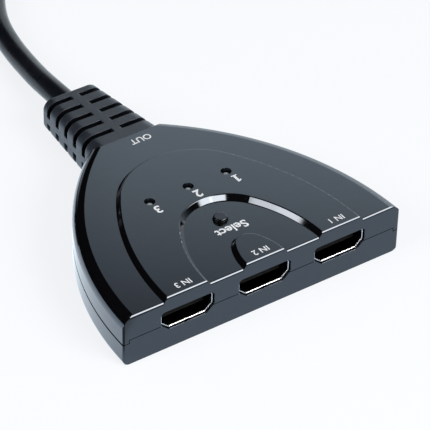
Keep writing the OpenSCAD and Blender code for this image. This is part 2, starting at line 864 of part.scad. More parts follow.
// A row of n pins spread over a chip's side, pointing along +Y
module pin_row(n, side) {
  pitch = side / (n + 1);
  for (i = [1:n])
    translate([-side / 2 + i * pitch - pitch / 4, 0, 0]) cube([pitch / 2, pin_l, pin_t]);
}

module switch_chip() {
  chip(chip_at, chip_w, chip_w);
}

module chip_pins() {
  color("silver") at_front() translate([chip_at[0], chip_at[1], board_top])
    for (a = [0:90:270]) rotate(a) translate([0, chip_w / 2, 0]) pin_row(chip_side_pins, chip_w);
}

module memory_chip() {
  chip(memory_at, memory_w, memory_l);
}

module memory_pins() {
  color("silver") at_front() translate([memory_at[0], memory_at[1], board_top])
    for (a = [0, 180]) rotate(a) translate([0, memory_l / 2, 0]) pin_row(memory_side_pins, memory_w);
}

module capacitors() {
  color("#b08d57") at_front() for (p = caps_at)
    translate([p[0] - cap_l / 2, p[1] - cap_w / 2, board_top]) cube([cap_l, cap_w, cap_w]);
}

module resistors() {
  color("#202020") at_front() for (p = res_at)
    translate([p[0] - res_w / 2, p[1] - res_l / 2, board_top]) cube([res_w, res_l, res_h]);
}

module case_screws() {
  cross_w = 0.6;
  cross_l = head_d * 0.6;
  color("dimgray") at_front() for (p = screws_at) translate([p[0], p[1], 0]) {
    difference() {
      translate([0, 0, head_sink]) cylinder(d = head_d, h = head_h);
      for (a = [0, 90]) rotate(a)
        translate([-cross_l / 2, -cross_w / 2, head_sink - over]) cube([cross_l, cross_w, over + head_h / 2]);
    }
    translate([0, 0, seat_z - head_h / 4]) cylinder(d = screw_d, h = screw_l + head_h / 4);
  }
}

// A thin slice of a rounded rectangle that stands across the lead
module boot_slice(y, w, low, high, r) {
  for (x = [-1, 1]) for (z = [low + r, high - r])
    translate([x * (w / 2 - r), y, z]) rotate([90, 0, 0])
      cylinder(r = r, h = 0.01, center = true, $fn = hull_fn);
}

// A tapering sleeve with rings of slots, drawn from its root at Y = 0 to its free end.
// Each slot turns round one of the four long edges, so four spines stay between them,
// and none comes nearer to the lead's middle, at the height axis, than keep.
module ribbed_sleeve(length, w, low, high, r, rim, rings, pitch, width, depth, last, spines, axis, keep) {
  difference() {
    hull() {
      boot_slice(0.005, w[0], low[0], high[0], r[0]);
      boot_slice(length - rim, w[1], low[1], high[1], r[1]);
      boot_slice(length - 0.005, w[1] - rim, low[1] + rim / 2, high[1] - rim / 2, r[1] - rim / 2);
    }
    for (i = [0:rings - 1]) {
      y = length - last - i * pitch;
      t = y / length;
      half = between(w[0], w[1], t) / 2;
      bottom = between(low[0], low[1], t);
      top = between(high[0], high[1], t);
      for (x = [0, 1]) mirror([x, 0, 0]) {
        for (side = [0, 1]) {
          middle = (bottom + top) / 2;
          z0 = side == 0 ? bottom - over : middle + spines[1] / 2;
          z1 = side == 0 ? middle - spines[1] / 2 : top + over;
          core0 = side == 0 ? min(bottom + depth, axis - keep) : z0 - over;
          core1 = side == 0 ? z1 + over : max(top - depth, axis + keep);
          translate([0, y - width / 2, 0]) difference() {
            translate([spines[0] / 2, 0, z0]) cube([half + over - spines[0] / 2, width, z1 - z0]);
            translate([0, -over, core0]) cube([half - depth, width + 2 * over, core1 - core0]);
          }
        }
      }
    }
  }
}

module cable_boot() {
  bore = cable_d + 2 * jacket_gap;
  color("#26282a") at_front() difference() {
    union() {
      translate([0, body_d, 0])
        ribbed_sleeve(boot_l, [boot_w0, boot_w1], [boot_low0, boot_low1], [boot_top0, boot_top1],
          [boot_r0, boot_r1], boot_rim, slot_n, slot_pitch, slot_w, slot_d, slot_end,
          [spine_w, spine_h], cable_z, bore / 2 + slot_skin);
      translate([-neck_w / 2, flange_y + flange_t / 2, cable_z - neck_h / 2])
        cube([neck_w, body_d - flange_y - flange_t / 2 + root, neck_h]);
      translate([-flange_w / 2, flange_y, cable_z - flange_h / 2]) cube([flange_w, flange_t, flange_h]);
    }
    translate([0, flange_y - over, cable_z]) along_y(overall_l - flange_y + 2 * over) circle(d = bore);
  }
}

module cable_core() {
  color("#1b1c1e") at_front() translate([0, jacket_y, cable_z])
    along_y(overall_l - jacket_y) circle(d = cable_d);
}

module shield_crimp() {
  inner = cable_d + 2 * jacket_gap;
  color("silver") at_front() translate([0, jacket_y + crimp_set, cable_z]) along_y(crimp_l)
    difference() {
      circle(d = inner + 2 * crimp_t);
      circle(d = inner);
    }
}

// A tube of n sides through the points of a path, closed at both ends
module tube(path, d, n) {
  last = len(path) - 1;
  function ring(i) =
    let (t = unit(path[min(i + 1, last)] - path[max(i - 1, 0)]), side = unit(cross(t, [0, 0, 1])),
      up = cross(side, t))
    [for (k = [0:n - 1]) path[i] + d / 2 * (cos(360 * k / n) * side + sin(360 * k / n) * up)];
  points = [for (i = [0:last]) each ring(i)];
  walls = [
    for (i = [0:last - 1]) for (k = [0:n - 1])
      let (a = i * n + k, b = i * n + (k + 1) % n)
      each [[a, b, b + n], [a, b + n, a + n]]
  ];
  ends = [for (k = [1:n - 2]) each [[0, k + 1, k], [last * n, last * n + k, last * n + k + 1]]];
  polyhedron(points, concat(walls, ends));
}

// Wires that leave the jacket side by side, spread out and lie down on the board
module signal_wires() {
  lie_z = board_top + wire_d / 2;
  bundle_pitch = (cable_d - 2 * wire_d) / (wire_n - 1);
  color("#b24a3a") at_front() for (i = [0:wire_n - 1]) {
    place = i - (wire_n - 1) / 2;
    from = [place * bundle_pitch, jacket_y, cable_z];
    to = [place * wire_pitch, board_end - 3 * wire_d, lie_z];
    tube([from, from - [0, wire_d, 0], to, to - [0, 2 * wire_d, 0]], wire_d, 6);
  }
}

module cable_run() {
  color("#1b1c1e") tube(run_path, cable_d, 10);
}

module cable_coil() {
  color("#1b1c1e") tube(coil_path, cable_d, 6);
}

module cable_tail() {
  color("#1b1c1e") tube(tail_path, cable_d, 10);
}

// Outline of a slot with round ends, standing on end, grown by g
module stadium(g) {
  r = cable_d / 2 + g;
  for (z = [0, coil_rise]) translate([0, z]) circle(r);
  translate([-r, 0]) square([2 * r, coil_rise]);
}

// A flat tie round both layers of the coil, with its head on the outside
module cable_tie() {
  head = 2 * tie_t + cable_d / 2;
  at = coil_point(tie_at);
  color("#202124") translate(at) rotate([0, 0, coil_from + 360 * tie_at])
    translate([0, -tie_w / 2, 0]) {
      along_y(tie_w) difference() {
        stadium(tie_gap + tie_t);
        stadium(tie_gap);
      }
      translate([cable_d / 2 + tie_gap + tie_t / 2, -tie_t, coil_rise / 2 - head / 2])
        cube([head / 2 + tie_t / 2, tie_w + 2 * tie_t, head]);
    }
}

// Places what is drawn pointing along +Y from the end of the lead
module at_plug() {
  away = heading(coil_turns);
  translate(plug_at) rotate([0, 0, atan2(away[1], away[0]) - 90]) children();
}

module rounded_outline(w, h, r) {
  for (x = [-1, 1]) for (y = [-1, 1]) translate([x * (w / 2 - r), y * (h / 2 - r)]) circle(r);
  square([w - 2 * r, h], center = true);
  square([w, h - 2 * r], center = true);
}

module plug_boot() {
  color("#26282a") at_plug() translate([0, tail_l, 0]) mirror([0, 1, 0])
    ribbed_sleeve(tail_l, [tail_w0, tail_w1], [-tail_h0 / 2, -tail_h1 / 2],
      [tail_h0 / 2, tail_h1 / 2], [boot_rim * 3, boot_rim * 3], boot_rim, slot_n - 2,
      slot_pitch * 0.8, slot_w * 0.8, (tail_h1 - cable_d) / 2 - boot_rim / 2, slot_end,
      [spine_w, spine_h], 0, cable_d / 2 + slot_skin);
}

module plug_grip() {
  color("#25282c") at_plug() translate([0, tail_l, 0]) intersection() {
    along_y(grip_l) rounded_outline(grip_w, grip_h, grip_r);
    translate([0, grip_l / 2, -grip_h]) linear_extrude(2 * grip_h)
      rounded_outline(grip_w + 2 * ease, grip_l, grip_corner_r);
  }
}

plug_slope_w = port_slope_w - port_t / 2;
plug_slope_h = port_slope_h;

// The outline inside the plug's shell, grown by g on all sides
module plug_form(g) {
  translate([0, plug_t - plug_h / 2])
    socket_form(plug_w - 2 * plug_t, plug_h - 2 * plug_t, plug_slope_w, plug_slope_h, g, port_r + g);
}

module plug_shell() {
  color("silver") at_plug() translate([0, tail_l + grip_l, 0]) difference() {
    along_y(plug_l) plug_form(plug_t);
    translate([0, -over, 0]) along_y(plug_l + 2 * over) plug_form(0);
  }
}

module plug_tongue() {
  color("#161616") at_plug() translate([0, tail_l + grip_l, 0]) difference() {
    along_y(plug_l - plug_set) plug_form(-play);
    translate([-plug_slot_w / 2, block_t, -plug_slot_h / 2])
      cube([plug_slot_w, plug_l, plug_slot_h]);
  }
}

module plug_contacts() {
  length = plug_l - block_t - plug_set - contact_set;
  color("goldenrod") at_plug() translate([0, tail_l + grip_l + block_t, 0]) {
    translate([0, 0, plug_slot_h / 2 - contact_t]) contact_row(10, length);
    translate([0, 0, -plug_slot_h / 2]) contact_row(9, length);
  }
}

top_shell();
bottom_shell();
circuit_board();
port_shell(1);  // port_1_shell
port_shell(2);  // port_2_shell
port_shell(3);  // port_3_shell
port_tongue(1);  // port_1_tongue
port_tongue(2);  // port_2_tongue
port_tongue(3);  // port_3_tongue
port_contacts(1);  // port_1_contacts
port_contacts(2);  // port_2_contacts
port_contacts(3);  // port_3_contacts
led_lens(1);  // led_1_lens
led_lens(2);  // led_2_lens
led_lens(3);  // led_3_lens
led_leads();
select_button();
switch_base();
switch_cover();
switch_dome();
switch_legs();
switch_chip();
chip_pins();
memory_chip();
memory_pins();
capacitors();
resistors();
case_screws();
cable_boot();
cable_core();
shield_crimp();
signal_wires();
cable_run();
cable_coil();
cable_tail();
cable_tie();
plug_grip();
plug_boot();
plug_shell();
plug_tongue();
plug_contacts();
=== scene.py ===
import json
import math

import bpy
import numpy as np
from mathutils import Matrix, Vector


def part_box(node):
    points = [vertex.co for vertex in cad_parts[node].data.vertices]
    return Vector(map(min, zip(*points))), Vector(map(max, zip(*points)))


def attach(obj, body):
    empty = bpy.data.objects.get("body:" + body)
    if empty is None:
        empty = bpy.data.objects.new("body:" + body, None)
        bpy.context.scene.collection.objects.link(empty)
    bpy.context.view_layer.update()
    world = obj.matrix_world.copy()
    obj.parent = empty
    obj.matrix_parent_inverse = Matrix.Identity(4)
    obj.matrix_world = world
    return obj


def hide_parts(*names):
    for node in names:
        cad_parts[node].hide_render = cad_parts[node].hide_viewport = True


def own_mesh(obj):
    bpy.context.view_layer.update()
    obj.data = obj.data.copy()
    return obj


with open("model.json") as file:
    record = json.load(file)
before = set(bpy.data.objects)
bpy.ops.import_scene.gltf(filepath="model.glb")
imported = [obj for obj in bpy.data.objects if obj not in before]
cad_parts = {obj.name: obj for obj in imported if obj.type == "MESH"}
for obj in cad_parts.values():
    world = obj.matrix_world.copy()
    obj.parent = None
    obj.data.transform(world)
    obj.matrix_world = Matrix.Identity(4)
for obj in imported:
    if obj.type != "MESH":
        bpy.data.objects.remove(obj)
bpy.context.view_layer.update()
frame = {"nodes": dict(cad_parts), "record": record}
nodes = frame["nodes"]
scene = bpy.context.scene
scene.view_settings.view_transform = "Standard"
mm = 0.001
print("frame loaded:", len(nodes), "nodes")


# Camera: direction from the object towards the lens, as azimuth and elevation, then a roll about the line of sight
view = {
    "place": (-0.2978, -0.43805, 0.4120),
    "azimuth": -35.61,
    "elevation": 37.90,
    "roll": 1.55,
    "lens": 226.06,
    "sensor": 36.0,
    "clip": (0.01, 20.0),
}


def cameraAxes(azimuth, elevation, roll):
    # back points from the object to the lens; right is level; both turn about back by the roll
    a, e, r = (math.radians(v) for v in (azimuth, elevation, roll))
    back = np.array([math.sin(a) * math.cos(e), -math.cos(a) * math.cos(e), math.sin(e)])
    right = np.array([math.cos(a), math.sin(a), 0.0])
    up = np.cross(back, right)
    turned = (math.cos(r) * right + math.sin(r) * up, -math.sin(r) * right + math.cos(r) * up)
    return np.column_stack([*turned, back])


cameraData = bpy.data.cameras.new("camera")
cameraData.lens = view["lens"]
cameraData.sensor_width = view["sensor"]
cameraData.clip_start, cameraData.clip_end = view["clip"]
camera = bpy.data.objects.new("camera", cameraData)
cameraMatrix = np.eye(4)
cameraMatrix[:3, :3] = cameraAxes(view["azimuth"], view["elevation"], view["roll"])
cameraMatrix[:3, 3] = view["place"]
camera.matrix_world = Matrix(cameraMatrix.tolist())
scene.collection.objects.link(camera)
scene.camera = camera
print("camera placed")


def gridSurface(points, closeAlong=False):
    # points[row, column] in mm: columns run round and close, rows run along and close or end in flat caps.
    # Faces that come out with a negative volume are turned round, so they point outwards.
    rows, columns = points.shape[:2]
    index = np.arange(rows * columns).reshape(rows, columns)
    below = np.roll(index, -1, 0)
    quads = np.stack([index, np.roll(index, -1, 1), np.roll(below, -1, 1), below], -1)
    quads = (quads if closeAlong else quads[:-1]).reshape(-1, 4)
    flat = points.reshape(-1, 3)
    a, b, c, d = (flat[quads[:, k]] - flat.mean(0) for k in range(4))
    volume = np.sum(np.cross(a, b) * c) + np.sum(np.cross(a, c) * d)
    faces = quads.tolist()
    if not closeAlong:
        faces += [index[0, ::-1].tolist(), index[-1].tolist()]
    if volume < 0:
        faces = [face[::-1] for face in faces]
    return flat, faces


made = []  # each new piece with its slot


def makePiece(name, surfaces, slot, sharp=40.0, paintedShade=None):
    # joins surfaces given in mm into one mesh in metres, fixed to the case, smooth except at edges sharper than
    # the angle; the last argument marks, point by point from 0 to 1, the painted shade deep in a slot or inside a
    # shell
    points, faces, start = [], [], 0
    for flat, quads in surfaces:
        points.append(flat)
        faces += [[start + i for i in face] for face in quads]
        start += len(flat)
    mesh = bpy.data.meshes.new(name)
    mesh.from_pydata((np.concatenate(points) * mm).tolist(), [], faces)
    mesh.polygons.foreach_set("use_smooth", np.ones(len(mesh.polygons), bool))
    mesh.set_sharp_from_angle(angle=math.radians(sharp))
    if paintedShade is not None:
        mesh.attributes.new("paintedShade", "FLOAT", "POINT").data.foreach_set("value", paintedShade.ravel())
    mesh.update()
    piece = bpy.data.objects.new(name, mesh)
    scene.collection.objects.link(piece)
    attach(piece, "case")
    made.append((piece, slot))
    return piece


# Lead: out of the strain relief, down to the floor, along it and into a coil outside the picture
lead = {
    "diameter": 6.2,
    "sides": 28,
    "stride": 0.9,
    "ease": 3.0,
    "curveSteps": 12,
    "exit": (0.0, 43.25, 6.8),
    "run": [
        (0, 47, 6.8), (0.1, 51, 6.5), (0.5, 56, 5.8), (1.1, 61, 5), (1.9, 66, 4.3), (2.7, 71, 3.7),
        (3.5, 76, 3.3), (4.4, 81, 3.15), (5.6, 86.5, 3.15), (7.2, 91.5, 3.15),
        (9.4, 96.5, 3.15), (12.1, 101.5, 3.15), (15.3, 107, 3.3),
    ],
    "coilCentre": (-7.0, 141.5),
    "coilRadius": 37.0,
    "coilStep": 6.6,
    "coilTurns": 1.6,
    "coilFrom": -36.0,
    "coilHeight": 3.95,
    "coilRise": 6.8,
    "climbFrom": 0.55,
    "climbTurns": 0.5,
    "turnPoints": 24,
    "tailAlong": (6, 12, 18, 24, 30, 34, 38),
    "tailDrop": (0, 0.06, 0.28, 0.62, 0.92, 1, 1),
    "plugHeight": 5.55,
    "tieTurn": 0.3,
}


def coilPoint(turn):
    # spiral in and then out at an even step, with one smooth climb to the upper layer
    turn = np.asarray(turn, float)
    angle = np.radians(lead["coilFrom"] + 360 * turn)
    radius = lead["coilRadius"] - lead["coilStep"] * np.minimum(turn, lead["coilTurns"] - turn)
    climb = np.clip((turn - lead["climbFrom"]) / lead["climbTurns"], 0, 1)
    height = lead["coilHeight"] + lead["coilRise"] * climb**2 * (3 - 2 * climb)
    x, y = lead["coilCentre"]
    return np.stack([x + radius * np.cos(angle), y + radius * np.sin(angle), height], -1)


def coilHeading(turn):
    angle = math.radians(lead["coilFrom"] + 360 * turn)
    return np.array([-math.sin(angle), math.cos(angle), 0.0])


def smoothPath(points, stride, ease):
    # a Catmull-Rom curve through the points, walked at even strides, then averaged along itself with bell-shaped
    # weights; the path is continued past its ends by half a turn about them, so that they stay
    p = np.concatenate([2 * points[:1] - points[1:2], points, 2 * points[-1:] - points[-2:-1]])
    t = np.linspace(0, 1, lead["curveSteps"], endpoint=False)[None, :, None]
    p0, p1, p2, p3 = (p[k:len(p) - 3 + k, None] for k in range(4))
    curve = 0.5 * (2 * p1 + (p2 - p0) * t + (2 * p0 - 5 * p1 + 4 * p2 - p3) * t**2
                   + (3 * p1 - p0 - 3 * p2 + p3) * t**3)
    curve = np.concatenate([curve.reshape(-1, 3), points[-1:]])
    walked = np.concatenate([[0], np.cumsum(np.linalg.norm(np.diff(curve, axis=0), axis=1))])
    even = np.linspace(0, walked[-1], int(walked[-1] / stride) + 1)
    path = np.stack([np.interp(even, walked, curve[:, k]) for k in range(3)], -1)
    reach = int(3 * ease / stride)  # the bell is cut off at three times its width
    bell = np.exp(-0.5 * (np.arange(-reach, reach + 1) * stride / ease) ** 2)
    longer = np.concatenate([2 * path[0] - path[reach:0:-1], path, 2 * path[-1] - path[-2:-reach - 2:-1]])
    path = np.stack([np.convolve(longer[:, k], bell / bell.sum(), "valid") for k in range(3)], -1)
    return path, np.linalg.norm(np.diff(path, axis=0), axis=1).sum()


def tubeAlong(path, radius, sides):
    # a circle carried along the path, upright to it, with its side always level
    ahead = np.gradient(path, axis=0)
    ahead /= np.linalg.norm(ahead, axis=1, keepdims=True)
    side = np.cross(ahead, [0, 0, 1])
    side /= np.linalg.norm(side, axis=1, keepdims=True)
    up = np.cross(side, ahead)
    turn = np.linspace(0, 2 * np.pi, sides, endpoint=False)[None, :, None]
    return path[:, None] + radius * (np.cos(turn) * side[:, None] + np.sin(turn) * up[:, None])


turns, gap = lead["coilTurns"], lead["diameter"]
coilIn = coilPoint(0) - coilHeading(0) * gap
coilOut = coilPoint(turns) + coilHeading(turns) * gap
tailAlong = np.array(lead["tailAlong"], float)[:, None]
tailPoints = coilOut + coilHeading(turns) * tailAlong
tailPoints[:, 2] += (lead["plugHeight"] - coilOut[2]) * np.array(lead["tailDrop"])
plugAt = tailPoints[-1]
leadRoute = np.concatenate([
    [lead["exit"]], lead["run"], [coilIn - coilHeading(0) * gap, coilIn],
    coilPoint(np.linspace(0, turns, round(turns * lead["turnPoints"]) + 1)), [coilOut], tailPoints,
]).astype(float)
leadPath, leadLength = smoothPath(leadRoute, lead["stride"], lead["ease"])
leadCord = makePiece(
    "lead_cord", [gridSurface(tubeAlong(leadPath, lead["diameter"] / 2, lead["sides"]))], "lead_pvc")
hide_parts("cable_run", "cable_coil", "cable_tail")
print("lead laid: %.1f mm" % leadLength)


# Strain reliefs: tapering rounded-rectangle sleeves with rings of slots that turn round the four long edges
strainRelief = {
    "length": 27.0,
    "width": (20.6, 16.2),
    "low": (0.9, 2.0),
    "high": (13.5, 11.4),
    "radius": (3.4, 2.8),
    "rim": 0.7,
    "rings": 5,
    "pitch": 4.75,
    "slotWidth": 1.7,
    "slotDepth": 2.2,
    "lastSlot": 3.1,
    "spineTop": 2.4,
    "spineSide": 2.0,
    "boreRadius": 3.15,
    "boreHeight": 6.8,
    "boreSkin": 0.3,
    "boreFlare": 0.2,
    "flareDeep": 0.3,
    "root": (1.5, 0.25, 0.0),
    "sharp": 32.0,
    "place": (0.0, 16.25, 0.0),
}
plug = {"relief": 14.0, "grip": 24.0}
plugRelief = dict(
    strainRelief, length=plug["relief"], width=(12.0, 9.6), low=(-4.8, -4.4), high=(4.8, 4.4), radius=(2.1, 2.1),
    rings=3, pitch=3.8, slotWidth=1.36, slotDepth=0.95, boreHeight=0.0, boreSkin=0.15,
    place=(plugAt[0], plugAt[1] - plug["relief"], plugAt[2]),
)
# points of a ring on each flat stretch and round each long edge, and along the free end's rounding
ringPoints = {"flat": 5, "edge": 15, "rim": 7}
# a slot's wall in section: distance past the slot's edge, the share of the depth reached there, and the share of
# the depth from which the painted shade in the slot is full
slotWall = {
    "past": np.array([-0.45, -0.06, -0.04, -0.02, -0.005, 0.0025, 0.01]),
    "share": np.array([0.0, 0.0, 0.004, 0.012, 0.03, 0.14, 1.0]),
    "shadowFrom": 0.14,
}


def quarterSection(halfWidth, halfHeight, radius, halfSpineX, halfSpineZ):
    # from the middle of the top round one long edge to the middle of the side: points, outward directions
    # and slot share
    flat = np.linspace(0, 1, ringPoints["flat"] + 2)[None, 1:-1]
    past, share = slotWall["past"], slotWall["share"]
    rings = len(halfWidth)
    across = halfSpineX + past[None]
    topX = np.concatenate([np.zeros((rings, 1)), np.repeat(across, rings, 0),
                           across[:, -1:] + flat * (halfWidth - radius - across[:, -1:])], 1)
    angle = np.radians(np.linspace(90, 0, ringPoints["edge"]))[None]
    upright = halfSpineZ + past[None, ::-1]
    sideZ = np.concatenate([halfHeight - radius + flat * (upright[:, :1] - halfHeight + radius),
                            np.repeat(upright, rings, 0), np.zeros((rings, 1))], 1)
    arcX = halfWidth - radius + radius * np.cos(angle)
    arcZ = halfHeight - radius + radius * np.sin(angle)
    x = np.concatenate([topX, arcX, np.repeat(halfWidth, sideZ.shape[1], 1)], 1)
    z = np.concatenate([np.repeat(halfHeight, topX.shape[1], 1), arcZ, sideZ], 1)
    tops, sides = topX.shape[1], sideZ.shape[1]
    normalX = np.concatenate([np.zeros(tops), np.cos(angle[0]), np.ones(sides)])
    normalZ = np.concatenate([np.ones(tops), np.sin(angle[0]), np.zeros(sides)])
    plain = np.ones(flat.shape[1])
    cut = np.concatenate([[0], share, plain, np.ones(ringPoints["edge"]), plain, share[::-1], [0]])
    return x, z, normalX, normalZ, cut


def ribbedSleeve(relief):
    # rings of the rounded rectangle from the free end to the root, pressed in where a slot's two shares meet,
    # then closed through the root's face, the bore and the free end's face
    length, rim = relief["length"], relief["rim"]
    past, share = slotWall["past"], slotWall["share"]
    along, press = [], []
    for k in range(relief["rings"]):
        middle = length - relief["lastSlot"] - k * relief["pitch"]
        half = relief["slotWidth"] / 2
        along += [middle + half - past, [middle], middle - half + past[::-1]]
        press += [share, [1.0], share[::-1]]
    bend = np.radians(np.linspace(90, 0, ringPoints["rim"]))
    along = np.concatenate([length - rim + rim * np.sin(bend)] + along + [relief["root"]])
    press = np.concatenate([np.zeros(len(bend))] + press + [np.zeros(len(relief["root"]))])
    inset = np.concatenate([rim / 2 * (1 - np.cos(bend)), np.zeros(len(along) - len(bend))])[:, None]
    t = np.clip(along / (length - rim), 0, 1)[:, None]
    tapered = (relief[size] for size in ("width", "low", "high", "radius"))
    width, low, high, radius = (root + (end - root) * t for root, end in tapered)
    x, z, nx, nz, cut = quarterSection(
        width / 2 - inset, (high - low) / 2 - inset, radius - inset, relief["spineTop"] / 2, relief["spineSide"] / 2)
    deep = press[:, None] * cut[None]
    x, z = x - nx * relief["slotDepth"] * deep, z - nz * relief["slotDepth"] * deep
    # four mirrored quarters make the ring; the shared middles are taken once
    ringDeep = np.concatenate([deep[:, :-1], deep[:, :0:-1], deep[:, :-1], deep[:, :0:-1]], 1)
    ringX = np.concatenate([x[:, :-1], x[:, :0:-1], -x[:, :-1], -x[:, :0:-1]], 1)
    ringZ = np.concatenate([z[:, :-1], -z[:, :0:-1], -z[:, :-1], z[:, :0:-1]], 1) + (low + high) / 2
    # nothing is cut nearer to the lead than the skin round its bore
    bore, axis = relief["boreRadius"], relief["boreHeight"]
    reach = np.hypot(ringX, ringZ - axis)
    out = np.maximum(1, (bore + relief["boreSkin"]) / reach)
    ringX, ringZ = ringX * out, axis + (ringZ - axis) * out
    skin = np.stack([ringX, np.repeat(along[:, None], ringX.shape[1], 1), ringZ], -1)
    angle = np.arctan2(ringZ[0] - axis, ringX[0])
    inner = np.array([[bore, 0.0], [bore, length / 2], [bore, length - relief["flareDeep"]],
                      [bore + relief["boreFlare"], length]])
    hole = np.stack([inner[:, :1] * np.cos(angle), np.repeat(inner[:, 1:], len(angle), 1),
                     axis + inner[:, :1] * np.sin(angle)], -1)
    # painted shade in the slots: growing with the slot's depth up to full, none in the bore
    paintedShade = np.concatenate([np.minimum(1, ringDeep / slotWall["shadowFrom"]), np.zeros(hole.shape[:2])])
    return gridSurface(np.concatenate([skin, hole]) + np.array(relief["place"]), closeAlong=True), paintedShade


sleeve, sleevePaintedShade = ribbedSleeve(strainRelief)
leadRelief = makePiece("lead_strain_relief", [sleeve], "soft_pvc", strainRelief["sharp"], sleevePaintedShade)
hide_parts("cable_boot")
sleeve, sleevePaintedShade = ribbedSleeve(plugRelief)
plugSleeve = makePiece("plug_strain_relief", [sleeve], "soft_pvc", plugRelief["sharp"], sleevePaintedShade)
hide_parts("plug_boot")
print("strain reliefs cut")


# Plated sheet shells: the six-cornered outline with sloping lower corners, folded from sheet with a seam below
socketShell = {
    "width": 14.0, "height": 4.55, "slopeWidth": 2.0, "slopeHeight": 1.75, "corner": 0.6,
    "sheet": 0.35, "length": 11.0, "seam": 0.16, "seamDepth": 0.12,
    "places": {1: 22.0, 2: 0.0, 3: -22.0}, "front": -42.75, "floor": 6.05,
}
plugTube = {
    "width": 13.3, "height": 3.85, "slopeWidth": 1.825, "slopeHeight": 1.75, "corner": 0.6,
    "sheet": 0.3, "length": 11.7, "seam": 0.16, "seamDepth": 0.1,
}
# what every shell has: points round a corner and round the rolled edge, depths behind the edge, painted shade at the
# lip, where the points lie on a straight line, as shares of it, close together at the seam under the middle, which
# directions count as its underside, and how much of the seam's depth notches the edge, and how far back
sheetForm = {
    "cornerPoints": 9, "rollPoints": 9, "mouth": 1.5, "lip": 0.5, "lipPaintedShade": 0.85, "sharp": 50.0,
    "line": (0.2, 0.4, 0.49, 0.4945, 0.5, 0.5055, 0.51, 0.6, 0.8),
    "underside": -0.9, "notch": 0.5, "notchBack": 1.0,
}


def shellOutline(shell):
    # the outline shrunk by its corner radius, and at each point the direction that grows it again
    r, w, h = shell["corner"], shell["width"], shell["height"]
    sw, sh = shell["slopeWidth"], shell["slopeHeight"]
    long = math.hypot(sw, sh)
    side, top = w / 2 - r, h - r
    foot, knee = w / 2 - sw - r * (long - sw) / sh, sh - r * (sh - long) / sw
    corners = np.array([[side, top], [-side, top], [-side, knee], [-foot, r], [foot, r], [side, knee]])
    lean = math.degrees(math.atan2(sh, sw))
    faces = np.array([90.0, 180.0, 270.0 - lean, 270.0, 270.0 + lean, 360.0])
    before = np.roll(faces, 1)
    before[0] = 0.0
    bend = np.linspace(0, 1, sheetForm["cornerPoints"])[None]
    angle = np.radians(before[:, None] + (faces - before)[:, None] * bend)
    normal = np.stack([np.cos(angle), np.sin(angle)], -1)
    core = np.repeat(corners[:, None], sheetForm["cornerPoints"], 1)
    share = np.array(sheetForm["line"])[None, :, None]
    line = core[:, -1:] + (np.roll(core[:, :1], -1, 0) - core[:, -1:]) * share
    lineNormal = np.repeat(normal[:, -1:], share.size, 1)
    core = np.concatenate([core, line], 1).reshape(-1, 2)
    normal = np.concatenate([normal, lineNormal], 1).reshape(-1, 2)
    return core, normal


def sheetShell(shell, place):
    # the wall in section, from the back of the inside round the rolled edge to the back of the outside,
    # carried round the outline; the open edge looks towards -Y
    core, normal = shellOutline(shell)
    sheet, length, r = shell["sheet"], shell["length"], shell["sheet"] / 2
    mouth = sheetForm["mouth"]
    roll = np.radians(np.linspace(180, 0, sheetForm["rollPoints"]))
    out = np.concatenate([[0, 0, 0, 0], r + r * np.cos(roll), [sheet, sheet, sheet]])
    back = np.concatenate([
        [length, length / 2, mouth, sheetForm["lip"]], r - r * np.sin(roll), [mouth, length / 2, length]])
    # painted shade: full on the inside wall behind the lip, part at the lip, none on the rolled edge and outside
    inside = np.concatenate([[1, 1, 1, sheetForm["lipPaintedShade"]], np.zeros(len(out) - 4)])
    grow = np.repeat((shell["corner"] + out)[:, None], len(core), 1)
    # the folded sheet's two ends meet in a shallow groove under the middle
    seam = np.exp(-((core[:, 0] / shell["seam"]) ** 2)) * (normal[:, 1] < sheetForm["underside"])
    ease = np.sin(np.clip(out / sheet, 0, 1) * np.pi / 2)
    grow -= shell["seamDepth"] * seam[None] * ease[:, None]
    ring = core[None] + grow[..., None] * normal[None]
    notch = sheetForm["notch"] * shell["seamDepth"] * seam[None] * (back < sheetForm["notchBack"])[:, None]
    setBack = np.repeat(back[:, None], len(core), 1) + notch
    points = np.stack([ring[..., 0], setBack, ring[..., 1]], -1) + np.array(place)
    return gridSurface(points, closeAlong=True), np.repeat(inside[:, None], len(core), 1)


for k, x in socketShell["places"].items():
    sheet, shellPaintedShade = sheetShell(socketShell, (x, socketShell["front"], socketShell["floor"]))
    piece = makePiece("socket_%d_shell" % k, [sheet], "plated_shell", sheetForm["sharp"], shellPaintedShade)
    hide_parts("port_%d_shell" % k)
plugTip = plugAt + np.array([0.0, -plug["relief"] - plug["grip"] - plugTube["length"], -plugTube["height"] / 2])
sheet, shellPaintedShade = sheetShell(plugTube, plugTip)
plugShell = makePiece("plug_sheet_shell", [sheet], "plated_shell", sheetForm["sharp"], shellPaintedShade)
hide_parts("plug_shell")
print("plated shells folded")


# Indicator lights: bullet-shaped lenses that stand in their holes
lens = {
    "radius": 1.5, "neck": 1.27, "ceiling": 13.2, "tip": 14.5,
    "sides": 32, "shoulderPoints": 6, "tipPoints": 14, "tipTurn": 89,
}


def turnedForm(node, radius, level, sides):
    # a half section, as radii and heights in mm, turned about the upright axis through the node's middle
    low, high = (np.array(corner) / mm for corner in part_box(node))
    x, y = (low[:2] + high[:2]) / 2
    turn = np.linspace(0, 2 * np.pi, sides, endpoint=False)[None]
    return gridSurface(np.stack([x + radius[:, None] * np.cos(turn), y + radius[:, None] * np.sin(turn),
                                 np.repeat(level[:, None], sides, 1)], -1))


